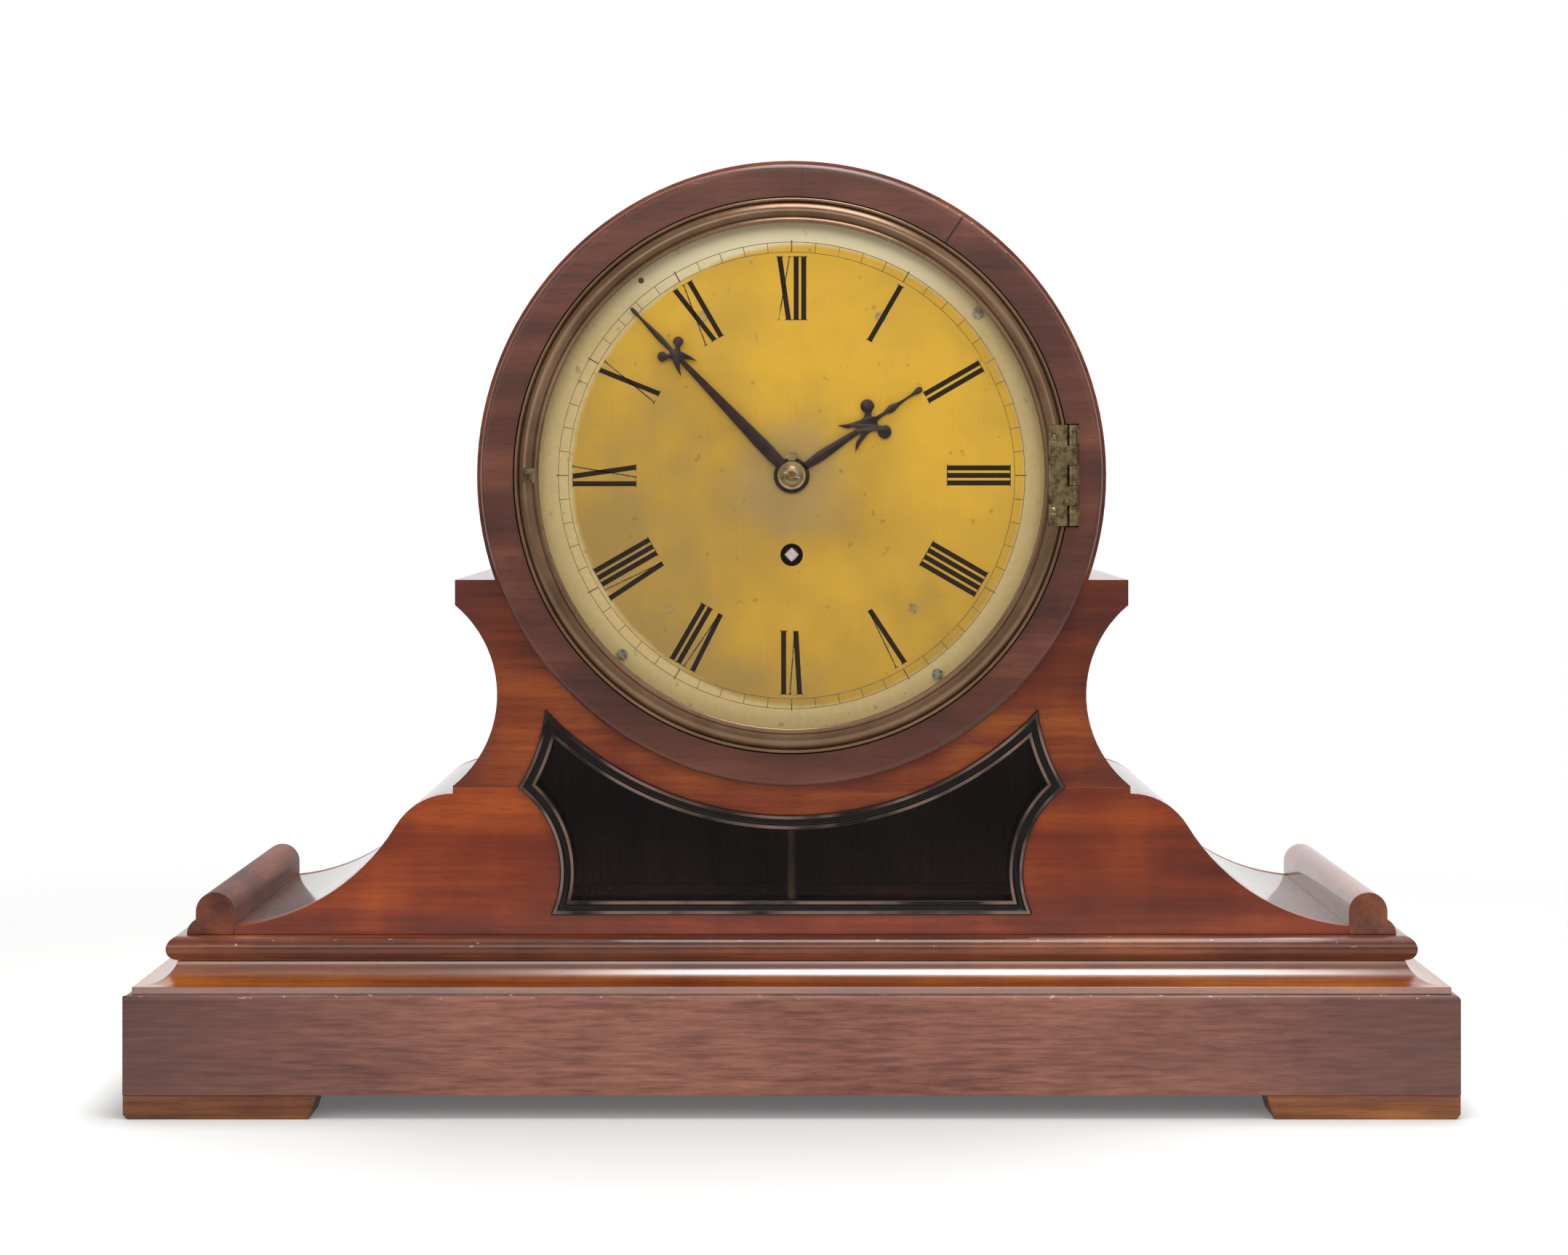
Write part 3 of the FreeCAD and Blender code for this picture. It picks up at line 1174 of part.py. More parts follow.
def crutch():
    """The thin arm behind the back plate, forked round the pendulum rod."""
    x, z = on_dial(PALLET_AT)
    front = BACK_PLATE_BACK + 4.0
    back = front + 1.4
    foot = z - CRUTCH_LENGTH
    arm = block(-CRUTCH_HALF, CRUTCH_HALF, front, back, foot, z)
    boss = disc((x, z), 4.0, front, back)
    inside = ROD_RADIUS + 0.15
    yoke = block(-inside - 1.4, inside + 1.4, front, back, foot - 2.0, foot + 2.0)
    prong = block(inside, inside + 1.4, front, PENDULUM_Y + 3.0, foot - 2.0, foot + 2.0)
    whole = fused([arm, boss, yoke, prong, mirrored(prong)])
    return whole.cut(disc((x, z), ARBOR_RADIUS, front, back))


# ---- pendulum
def suspension_spring():
    thin, wide = SPRING_THICKNESS / 2, SPRING_WIDTH / 2
    return block(-thin, thin, PENDULUM_Y - wide, PENDULUM_Y + wide, DIAL_Z + SPRING_FOOT,
                 DIAL_Z + SPRING_TOP)


def pendulum_rod():
    """The rod, with the block that the spring is clamped in and a thread at its foot."""
    top = DIAL_Z + SPRING_FOOT
    chuck = block(-CHUCK_HALF, CHUCK_HALF, PENDULUM_Y - 4.0, PENDULUM_Y + 4.0, top - CHUCK_DROP,
                  top + CHUCK_RISE)
    thin, wide = SPRING_THICKNESS / 2, SPRING_WIDTH / 2
    slit = block(-thin, thin, PENDULUM_Y - wide, PENDULUM_Y + wide, top, top + CHUCK_RISE)
    rod = upright(0.0, PENDULUM_Y, ROD_RADIUS, ROD_FOOT, top - CHUCK_DROP)
    return fused([chuck.cut(slit), rod])


def pendulum_bob():
    """A lens of brass with a hole for the rod."""
    dome = (BOB_RADIUS ** 2 + (BOB_THICKNESS / 2) ** 2) / BOB_THICKNESS
    shift = dome - BOB_THICKNESS / 2
    front = Part.makeSphere(dome, FreeCAD.Vector(0, PENDULUM_Y + shift, BOB_Z))
    back = Part.makeSphere(dome, FreeCAD.Vector(0, PENDULUM_Y - shift, BOB_Z))
    lens = front.common(back)
    return lens.cut(upright(0.0, PENDULUM_Y, ROD_RADIUS, BOB_Z - BOB_RADIUS, BOB_Z + BOB_RADIUS))


def rating_nut():
    """The round nut that the bob rests on."""
    top = BOB_Z - BOB_RADIUS - NUT_GAP
    body = upright(0.0, PENDULUM_Y, RATING_NUT_RADIUS, top - NUT_HEIGHT, top)
    return body.cut(upright(0.0, PENDULUM_Y, ROD_RADIUS + PIVOT_CLEARANCE, top - NUT_HEIGHT, top))


# ---- mainspring barrel
def spring_barrel():
    at = on_dial(BARREL_AT)
    front, back = PLATE_INNER + 3.0, GREAT_Y[0] - 1.0
    body = disc(at, BARREL_RADIUS, front, back)
    cap = disc(at, BARREL_RADIUS + 1.2, back - 2.0, back)
    return fused([body, cap]).cut(disc(at, BARREL_ARBOR + PIVOT_CLEARANCE, front, back))


def barrel_arbor():
    """The arbor that holds the inner end of the spring, with its set-up ratchet in front."""
    at = on_dial(BARREL_AT)
    arbor = disc(at, BARREL_ARBOR, PLATE_FRONT - 5.5, BACK_PLATE_BACK)
    corners = []
    pitch = 2 * math.pi / CLICK_RATCHET_TEETH
    for index in range(CLICK_RATCHET_TEETH):
        across, up = math.cos(index * pitch), math.sin(index * pitch)
        for radius in (CLICK_RATCHET - RATCHET_DEPTH, CLICK_RATCHET):
            corners.append((at[0] + radius * across, at[1] + radius * up))
    ratchet = polygon(corners, PLATE_FRONT - RATCHET_THICKNESS, PLATE_FRONT)
    return fused([arbor, ratchet])


def click():
    """The pawl that holds the ratchet."""
    x, z = on_dial(CLICK_AT)
    front, back = PLATE_FRONT - 2.5, PLATE_FRONT - 0.1
    bx, bz = on_dial(BARREL_AT)
    away = math.dist((x, z), (bx, bz))
    toward = ((bx - x) / away, (bz - z) / away)
    aside = (toward[1], -toward[0])
    reach = away - CLICK_RATCHET - 0.4

    def place(along, across):
        return (x + toward[0] * along + aside[0] * across, z + toward[1] * along + aside[1] * across)

    pawl = polygon([place(0, 3.2), place(0, -3.2), place(reach, -2.4), place(reach, -1.4)], front, back)
    boss = disc((x, z), 3.4, front, back)
    return fused([pawl, boss]).cut(disc((x, z), CLICK_STUD + PIVOT_CLEARANCE, front, back))


def fusee_line():
    """The straight run of gut line from the barrel to the fusee."""
    depth = (FUSEE_Y[0] + FUSEE_Y[1]) / 2
    cone = fusee_radius(0.5) + 0.8 + LINE_RADIUS
    drum = BARREL_RADIUS + 0.1 + LINE_RADIUS
    ax, az = on_dial(BARREL_AT)
    bx, bz = on_dial(FUSEE_AT)
    span = math.dist((ax, az), (bx, bz))
    lean = math.atan2(bz - az, bx - ax)
    tilt = math.acos((drum - cone) / span)
    normal = (math.cos(lean - tilt), math.sin(lean - tilt))
    start = FreeCAD.Vector(ax + drum * normal[0], depth, az + drum * normal[1])
    end = FreeCAD.Vector(bx + cone * normal[0], depth, bz + cone * normal[1])
    way = end - start
    return Part.makeCylinder(LINE_RADIUS, way.Length, start, way)


def stop_arm():
    """The lever that the last turn of line lifts into the way of the fusee's stop."""
    x, z = on_dial(STOP_AT)
    front, back = STOP_Y, STOP_Y + STOP_THICKNESS
    reach = math.dist(STOP_AT, FUSEE_AT) - FUSEE_SMALL - 4.0
    arm = block(x - reach, x, front, back, z - 2.0, z + 2.0)
    lean = -direction(STOP_AT, FUSEE_AT) - 180.0
    boss = disc((x, z), 4.0, front, back)
    lever = fused([spun(arm, (x, z), lean), boss])
    return lever.cut(disc((x, z), STOP_STUD + PIVOT_CLEARANCE, front, back))


# ---- motion work and hands
def cannon_pinion():
    """The pipe that carries the minute hand, friction-tight on the centre arbor."""
    gear = toothed(CENTRE_AT, MOTION_TEETH, MOTION_MODULE, direction(CENTRE_AT, MOTION_AT), *MOTION_Y)
    pipe = disc(on_dial(CENTRE_AT), CANNON_RADIUS, COLLET_Y, MOTION_Y[1])
    bore = disc(on_dial(CENTRE_AT), CENTRE_ARBOR + PIVOT_CLEARANCE, COLLET_Y, MOTION_Y[1])
    return fused([gear, pipe]).cut(bore)


def minute_wheel():
    phase = mating_phase(CENTRE_AT, MOTION_AT, MOTION_TEETH)
    gear = toothed(MOTION_AT, MOTION_TEETH, MOTION_MODULE, phase, *MOTION_Y)
    phase = mating_phase(CENTRE_AT, MOTION_AT, MOTION_PINION)
    pinion = toothed(MOTION_AT, MOTION_PINION, HOUR_MODULE, phase, HOUR_WHEEL_Y[0] - 0.4, MOTION_Y[0],
                     leaf=True)
    bore = disc(on_dial(MOTION_AT), MOTION_STUD + PIVOT_CLEARANCE, HOUR_WHEEL_Y[0] - 0.4, MOTION_Y[1])
    return fused([gear, pinion]).cut(bore)


def hour_wheel():
    """The hour wheel and its pipe, turning freely on the cannon pipe."""
    gear = toothed(CENTRE_AT, HOUR_TEETH, HOUR_MODULE, direction(CENTRE_AT, MOTION_AT), *HOUR_WHEEL_Y)
    front = HOUR_HAND_Y - HAND_THICKNESS
    pipe = disc(on_dial(CENTRE_AT), HOUR_PIPE_RADIUS, front, HOUR_WHEEL_Y[1])
    bore = disc(on_dial(CENTRE_AT), CANNON_RADIUS + PIVOT_CLEARANCE, front, HOUR_WHEEL_Y[1])
    return fused([gear, pipe]).cut(bore)


def flat(points, depth):
    """A flat piece of hand, pointing up from the centre of the dial."""
    return polygon([(x, DIAL_Z + z) for x, z in points], depth, depth + HAND_THICKNESS)


def scroll_pair(points, depth):
    right = flat([(across, along) for along, across in points], depth)
    return [right, mirrored(right)]


def ball_pair(along, across, radius, depth):
    right = disc((across, DIAL_Z + along), radius, depth, depth + HAND_THICKNESS)
    return [right, mirrored(right)]


def minute_hand():
    """A tapering blade with a pair of scrolls and barbs and a long point."""
    depth = COLLET_Y
    knot = MINUTE_LENGTH - 29.3
    blade = flat([(-2.6, 4.0), (2.6, 4.0), (0.95, knot), (-0.95, knot)], depth)
    spear = flat([
        (0.9, knot), (0.45, knot + 4.0), (0.95, knot + 12.0), (0.45, knot + 20.0), (0.3, knot + 28.0),
        (-0.3, knot + 28.0), (-0.45, knot + 20.0), (-0.95, knot + 12.0), (-0.45, knot + 4.0), (-0.9, knot),
    ], depth)
    scroll = [(knot - 1.8, 0.7), (knot + 1.3, 0.4), (knot + 4.0, 3.9), (knot + 2.8, 5.2), (knot + 0.2, 3.0)]
    barb = [(knot + 0.9, 0.4), (knot - 0.5, 2.4), (knot - 6.6, 5.0), (knot - 2.7, 1.7), (knot - 3.1, 0.8)]
    tip = disc((0.0, DIAL_Z + MINUTE_LENGTH - 0.9), 0.9, depth, depth + HAND_THICKNESS)
    boss = disc((0.0, DIAL_Z), MINUTE_BOSS, depth, depth + HAND_THICKNESS)
    parts = [blade, spear, tip, boss] + scroll_pair(scroll, depth) + scroll_pair(barb, depth)
    hand = fused(parts + ball_pair(knot + 5.0, 5.2, 2.0, depth))
    hand = hand.cut(disc((0.0, DIAL_Z), CANNON_RADIUS, depth, depth + HAND_THICKNESS))
    return spun(hand, (0.0, DIAL_Z), MINUTE_ANGLE)


def hour_hand():
    """Shorter and broader than the minute hand, with a lozenge before the point."""
    depth = HOUR_HAND_Y - HAND_THICKNESS
    knot = HOUR_LENGTH - 30.5
    blade = flat([(-2.45, 5.0), (2.45, 5.0), (1.25, knot), (-1.25, knot)], depth)
    spear = flat([
        (1.2, knot), (0.6, knot + 6.0), (0.6, knot + 9.5), (1.55, knot + 13.9), (0.5, knot + 18.0),
        (0.4, knot + 28.0), (-0.4, knot + 28.0), (-0.5, knot + 18.0), (-1.55, knot + 13.9),
        (-0.6, knot + 9.5), (-0.6, knot + 6.0), (-1.2, knot),
    ], depth)
    arrow = flat([(1.1, knot + 28.0), (0.0, HOUR_LENGTH), (-1.1, knot + 28.0), (0.0, knot + 27.0)], depth)
    scroll = [(knot - 2.0, 1.0), (knot + 2.3, 0.8), (knot + 4.8, 4.4), (knot + 3.2, 6.4), (knot, 3.6)]
    barb = [(knot + 0.5, 0.8), (knot - 1.1, 3.4), (knot - 5.5, 5.0), (knot - 10.0, 7.2), (knot - 5.8, 3.4),
            (knot - 4.2, 1.2)]
    boss = disc((0.0, DIAL_Z), HOUR_BOSS, depth, depth + HAND_THICKNESS)
    parts = [blade, spear, arrow, boss] + scroll_pair(scroll, depth) + scroll_pair(barb, depth)
    hand = fused(parts + ball_pair(knot + 5.2, 7.0, 2.65, depth))
    hand = hand.cut(disc((0.0, DIAL_Z), HOUR_PIPE_RADIUS, depth, depth + HAND_THICKNESS))
    return spun(hand, (0.0, DIAL_Z), HOUR_ANGLE)


def hand_collet():
    """The domed brass washer over the minute hand."""
    front = COLLET_Y - COLLET_HEIGHT
    dome = turned(on_dial(CENTRE_AT), [
        (CENTRE_ARBOR + PIVOT_CLEARANCE, COLLET_Y),
        (COLLET_RADIUS, COLLET_Y),
        (COLLET_RADIUS, COLLET_Y - 0.5),
        (COLLET_RADIUS * 0.8, front + 0.9),
        (COLLET_RADIUS * 0.55, front + 0.2),
        (CENTRE_ARBOR + PIVOT_CLEARANCE, front),
    ])
    return dome


def hand_pin():
    """The taper pin through the centre arbor, in front of the collet."""
    at = on_dial(CENTRE_AT)
    base = FreeCAD.Vector(at[0] - 4.0, COLLET_Y - COLLET_HEIGHT - 0.6, at[1])
    pin = Part.makeCone(0.35, 0.55, 8.0, base, FreeCAD.Vector(1, 0, 0))
    pin.rotate(point(*at), FreeCAD.Vector(0, 1, 0), 20.0)
    return pin


# ---- back door
def back_door():
    return door_slab(DOOR_GAP, CASE_BACK - DOOR_THICKNESS, CASE_BACK)


def door_hinge(fixed):
    """Two surface butt hinges: the fixed leaves with their outer knuckles, or the door's leaves."""
    axis_x, axis_y = DOOR_HINGE_AXIS
    parts = []
    for rise in DOOR_HINGE_RISES:
        z0 = CASE_FLOOR + rise - DOOR_HINGE_HALF
        z1 = CASE_FLOOR + rise + DOOR_HINGE_HALF
        barrel = knuckles(DOOR_HINGE_AXIS, DOOR_HINGE_RADIUS, z0, z1, 3, 0.4, 0 if fixed else 1)
        side = 1 if fixed else -1
        edge = axis_x + side * DOOR_LEAF_WIDTH
        near = axis_x + side * (DOOR_HINGE_RADIUS + 0.3)
        leaf = block(min(edge, near), max(edge, near), CASE_BACK, CASE_BACK + DOOR_LEAF, z0, z1)
        webs = []
        for knuckle in barrel:
            box = knuckle.BoundBox
            webs.append(block(min(axis_x, near), max(axis_x, near), CASE_BACK, CASE_BACK + DOOR_LEAF,
                              box.ZMin, box.ZMax))
        hinge = fused(barrel + [leaf] + webs)
        clearance = 0.0 if fixed else PIVOT_CLEARANCE
        hinge = hinge.cut(upright(axis_x, axis_y, DOOR_PIN_RADIUS + clearance, z0, z1))
        parts.append(hinge)
        if fixed:
            parts.append(upright(axis_x, axis_y, DOOR_PIN_RADIUS, z0, z1))
    return Part.makeCompound(parts)


def door_knob():
    """A small turned brass knob on the free side of the door."""
    at = (-DOOR_HALF + DOOR_KNOB_INSET, DIAL_Z - DOOR_KNOB_DROP)
    return turned(at, [
        (0.0, CASE_BACK),
        (DOOR_KNOB_RADIUS, CASE_BACK),
        (DOOR_KNOB_RADIUS, CASE_BACK + 0.8),
        (DOOR_KNOB_RADIUS * 0.5, CASE_BACK + 2.0),
        (DOOR_KNOB_RADIUS * 0.8, CASE_BACK + 4.0),
        (DOOR_KNOB_RADIUS * 0.8, CASE_BACK + DOOR_KNOB_REACH - 0.8),
        (DOOR_KNOB_RADIUS * 0.5, CASE_BACK + DOOR_KNOB_REACH),
        (0.0, CASE_BACK + DOOR_KNOB_REACH),
    ])


# ---- all the pieces
def pieces():
    return {
        "feet": feet(),
        "base_board": base_board(),
        "plinth_frame": plinth_frame(),
        "cavetto_moulding": cavetto_moulding(),
        "torus_moulding": torus_moulding(),
        "front_board_lower": front_board_lower(),
        "front_board_upper": front_board_upper(),
        "deck_right": deck_right(),
        "deck_left": mirrored(deck_right()),
        "waist_side_right": waist_side_right(),
        "waist_side_left": mirrored(waist_side_right()),
        "drum_shell": drum_shell(),
        "roll_right": roll_right(),
        "roll_left": mirrored(roll_right()),
        "back_board": back_board(),
        "window_moulding": window_moulding(),
        "window_glass": window_glass(),
        "drum_surround": drum_surround(),
        "dial_plate": dial_with_pin_holes(),
        "dial_foot_pins": dial_foot_pins(),
        "dial_screws": dial_screws(),
        "bezel": bezel(),
        "bezel_glass": bezel_glass(),
        "bezel_hinge_fixed": bezel_hinge_fixed(),
        "bezel_hinge_leaf": bezel_hinge_leaf(),
        "bezel_hinge_pin": bezel_hinge_pin(),
        "bezel_catch": bezel_catch(),
        "front_plate": front_plate(),
        "back_plate": back_plate(),
        "pillars": pillars(),
        "pillar_pins": pillar_pins(),
        "back_cock": back_cock(),
        "great_wheel": great_wheel(),
        "fusee": fusee(),
        "centre_wheel": centre_wheel(),
        "third_wheel": third_wheel(),
        "escape_wheel": escape_wheel(),
        "anchor": anchor(),
        "crutch": crutch(),
        "suspension_spring": suspension_spring(),
        "pendulum_rod": pendulum_rod(),
        "pendulum_bob": pendulum_bob(),
        "rating_nut": rating_nut(),
        "spring_barrel": spring_barrel(),
        "barrel_arbor": barrel_arbor(),
        "click": click(),
        "fusee_line": fusee_line(),
        "stop_arm": stop_arm(),
        "cannon_pinion": cannon_pinion(),
        "minute_wheel": minute_wheel(),
        "hour_wheel": hour_wheel(),
        "minute_hand": minute_hand(),
        "hour_hand": hour_hand(),
        "hand_collet": hand_collet(),
        "hand_pin": hand_pin(),
        "back_door": back_door(),
        "door_hinge_fixed": door_hinge(True),
        "door_hinge_leaves": door_hinge(False),
        "door_knob": door_knob(),
    }


def main():
    os.makedirs("parts", exist_ok=True)
    for name, shape in pieces().items():
        shape.exportStep("parts/" + name + ".step")
        print(name, len(shape.Solids), round(shape.Volume), shape.isValid())


main()
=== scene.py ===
# %% [markdown]
# # A mahogany bracket clock
# The clock stands on a pale floor in soft studio light. The CAD model gives every piece its place and
# its size. Here each visible piece gets the eased edges, the turned profiles and the polish of the real
# one, and the hands, the figures on the dial and the small screws are modelled.

# %% Open the frame
import bpy
import json
import math
from mathutils import Matrix, Vector


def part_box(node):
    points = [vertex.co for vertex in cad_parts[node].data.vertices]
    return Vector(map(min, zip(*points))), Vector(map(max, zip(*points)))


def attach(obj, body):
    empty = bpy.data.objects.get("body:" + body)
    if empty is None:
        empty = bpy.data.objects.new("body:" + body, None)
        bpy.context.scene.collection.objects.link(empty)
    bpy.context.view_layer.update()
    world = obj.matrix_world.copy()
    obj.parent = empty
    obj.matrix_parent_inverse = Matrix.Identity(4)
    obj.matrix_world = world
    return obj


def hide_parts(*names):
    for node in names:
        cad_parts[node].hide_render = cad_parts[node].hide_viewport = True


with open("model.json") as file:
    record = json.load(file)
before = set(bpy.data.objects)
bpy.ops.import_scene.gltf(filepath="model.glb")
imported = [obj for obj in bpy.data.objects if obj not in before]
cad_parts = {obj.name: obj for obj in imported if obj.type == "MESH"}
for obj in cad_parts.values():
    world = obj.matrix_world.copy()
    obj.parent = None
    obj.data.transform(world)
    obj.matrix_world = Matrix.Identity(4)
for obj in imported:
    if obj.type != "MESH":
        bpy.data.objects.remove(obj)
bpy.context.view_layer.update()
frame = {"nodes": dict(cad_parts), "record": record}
MM = 0.001
bodies = frame["record"]["behaviour"]["bodies"]
body_of = {node: body for body, members in bodies.items() for node in members}

# %% [markdown]
# Every operator works on all that is selected, and the loader leaves the CAD nodes selected. So the
# first helper clears the selection. The others make an object active, and give the corners of a node.

# %% Small helpers


def clear_selection():
    if bpy.context.object and bpy.context.object.mode != "OBJECT":
        bpy.ops.object.mode_set(mode="OBJECT")
    bpy.ops.object.select_all(action="DESELECT")


def choose(piece):
    clear_selection()
    piece.select_set(True)
    bpy.context.view_layer.objects.active = piece
    return piece


def low(node):
    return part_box(node)[0]


def high(node):
    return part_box(node)[1]


DIAL_X = 0.0
DIAL_Z = (low("drum_surround")[2] + high("drum_surround")[2]) / 2
DIAL_FACE = low("dial_plate")[1]
PLINTH_FRONT = low("plinth_frame")[1]
PLINTH_HALF = high("plinth_frame")[0]
PLINTH_TOP = high("plinth_frame")[2]
CASE_BACK = high("plinth_frame")[1]
clear_selection()
print("dial centre", round(DIAL_Z / MM, 1), "mm up, dial face at", round(DIAL_FACE / MM, 1))

# %% [markdown]
# ## Shader sums
# A finish is a small circuit of shader nodes. Written as Python sums it stays readable: a Wire is one
# output of a node, and adding, multiplying or comparing wires adds the Math node that does it.

# %% A wire and a finish


class Wire:
    """One output of a shader node."""

    def __init__(self, finish, socket):
        self.finish = finish
        self.socket = socket

    def sum(self, operation, *values):
        return self.finish.node("ShaderNodeMath", {"operation": operation}, dict(enumerate(values)))

    def __add__(self, other):
        return self.sum("ADD", self, other)

    def __sub__(self, other):
        return self.sum("SUBTRACT", self, other)

    def __rsub__(self, other):
        return self.sum("SUBTRACT", other, self)

    def __mul__(self, other):
        return self.sum("MULTIPLY", self, other)

    def __gt__(self, other):
        return self.sum("GREATER_THAN", self, other)

    def __lt__(self, other):
        return self.sum("LESS_THAN", self, other)

    def __abs__(self):
        return self.sum("ABSOLUTE", self)

    __radd__ = __add__
    __rmul__ = __mul__


def paint(red, green, blue):
    """A colour written as on a screen, 0 to 255, as the linear colour that shaders use."""
    parts = [value / 255 for value in (red, green, blue)]
    return [v / 12.92 if v < 0.04045 else ((v + 0.055) / 1.055) ** 2.4 for v in parts] + [1.0]


class Finish:
    """A material, and the one method that adds any node to it."""

    def __init__(self, name, **sockets):
        self.material = bpy.data.materials.new(name)
        self.material.use_nodes = True
        self.tree = self.material.node_tree
        self.shader = self.tree.nodes["Principled BSDF"]
        self.set(**sockets)

    def node(self, kind, settings, values, output=0):
        made = self.tree.nodes.new(kind)
        for name, value in settings.items():
            if name == "stops":
                self.fill_ramp(made.color_ramp, value)
            else:
                setattr(made, name, value)
        for key, value in values.items():
            self.feed(made.inputs[key], value)
        return Wire(self, made.outputs[output])

    def fill_ramp(self, ramp, stops):
        while len(ramp.elements) < len(stops):
            ramp.elements.new(0.5)
        for element, (position, colour) in zip(ramp.elements, stops):
            element.position = position
            element.color = colour

    def feed(self, socket, value):
        if isinstance(value, Wire):
            self.tree.links.new(value.socket, socket)
        else:
            socket.default_value = value

    def set(self, **sockets):
        for name, value in sockets.items():
            self.feed(self.shader.inputs[name.replace("_", " ")], value)

    def place(self):
        return self.node("ShaderNodeTexCoord", {}, {}, "Object")

    def axes(self, vector):
        return [self.node("ShaderNodeSeparateXYZ", {}, {0: vector}, name) for name in "XYZ"]

    def noise(self, size, detail=2.0, vector=None, shift=(0, 0, 0), rough=0.5):
        """Cloudy noise with spots of the given size in metres, one number or one per axis."""
        sizes = size if isinstance(size, tuple) else (size, size, size)
        scale = [1 / value for value in sizes]
        where = self.node("ShaderNodeMapping", {}, {
            "Vector": vector or self.place(), "Scale": scale, "Location": shift})
        return self.node("ShaderNodeTexNoise", {}, {
            "Vector": where, "Scale": 1.0, "Detail": detail, "Roughness": rough})

    def ramp(self, factor, *stops):
        return self.node("ShaderNodeValToRGB", {"stops": stops}, {0: factor})

    def step(self, value, start, end):
        """0 below start, 1 above end, smooth between."""
        return self.node("ShaderNodeMapRange", {"interpolation_type": "SMOOTHSTEP"}, {
            "Value": value, "From Min": start, "From Max": end})

    def mix(self, factor, first, second, blend="MIX"):
        return self.node("ShaderNodeMix", {"data_type": "RGBA", "blend_type": blend},
                         {0: factor, 6: first, 7: second}, 2)

    def bump(self, height, distance, strength=1.0):
        return self.node("ShaderNodeBump", {}, {
            "Height": height, "Distance": distance, "Strength": strength})


print("paint check", [round(v, 3) for v in paint(141, 81, 46)[:3]])

# %% [markdown]
# ## French-polished mahogany
# Mahogany is red-brown, with fine dark pores drawn out along the grain, broader light and dark bands,
# and a cross figure that shimmers. Each of these is noise stretched to its own length and width. The
# polish is a clear coat over it, a little uneven, as a rubbed polish is.

# %% Grain directions


def along(axis, length, width):
    """Sizes of a spot that is drawn out along one axis."""
    return tuple(length if name == axis else width for name in "XYZ")


def turned_grain(finish):
    """On a mitred frame the grain runs along X in front, and along Y at the sides."""
    place = finish.place()
    x, y, z = finish.axes(place)
    side = (y - PLINTH_FRONT) > (PLINTH_HALF - abs(x))
    swapped = finish.node("ShaderNodeCombineXYZ", {}, {0: y, 1: x, 2: z})
    return finish.node("ShaderNodeMix", {"data_type": "VECTOR"}, {0: side, 4: place, 5: swapped}, 1)


def mahogany(name, dark, middle, light, axis="X", figure=0.14, coat=0.8, coat_rough=0.12,
             rough=0.34, mitred=False, streak=0.5, seed=0.0, coat_ior=1.5, grain=1.0, band=1.3,
             cloud=0.7):
    finish = Finish(name, Specular_IOR_Level=0.3, Coat_IOR=coat_ior)
    vector = turned_grain(finish) if mitred else finish.place()
    shift = (seed, seed * 2, seed * 3)
    bands = finish.noise(along(axis, 0.16, 0.017), 3, vector, shift)
    streaks = finish.noise(along(axis, 0.055 * grain, 0.0022), 4, vector, shift, 0.6)
    pores = finish.noise(along(axis, 0.009, 0.00035), 2, vector, shift)
    mottle = finish.noise(along(axis, 0.007, 0.03), 2, vector, shift)
    clouds = finish.noise(0.05, 2, vector, (seed, 5, 2))
    tone = (bands - 0.5) * band + (streaks - 0.5) * streak + (mottle - 0.5) * figure
    tone = tone + (clouds - 0.5) * cloud + 0.5
    colour = finish.ramp(tone, (0.12, paint(*dark)), (0.5, paint(*middle)), (0.88, paint(*light)))
    pore_mask = finish.step(pores, 0.57, 0.68)
    shade = [value * 0.55 for value in paint(*dark)[:3]] + [1.0]
    finish.colour = finish.mix(pore_mask * 0.45, colour, shade)
    rubbing = finish.noise(0.03, 3, vector, (7, seed, 1))
    waves = finish.noise(along(axis, 0.05, 0.02), 1, vector, (3, 3, seed))
    relief = waves * 1.0 - pore_mask * 0.10
    finish.set(Base_Color=finish.colour, Roughness=rough + (rubbing - 0.5) * 0.16,
               Coat_Roughness=coat_rough, Coat_Weight=coat + (rubbing - 0.5) * 0.2,
               Normal=finish.bump(relief, 0.00012, 0.6))
    finish.vector = vector
    return finish


def lay_wear_and_painted_light(finish, mask, colour):
    """Lays a colour over a finish where the mask is 1: worn and broken colour, and in places painted
    shade and painted highlight.
    """
    finish.colour = finish.mix(mask, finish.colour, paint(*colour))
    finish.set(Base_Color=finish.colour)


print("grain along X:", along("X", 0.055, 0.0022))
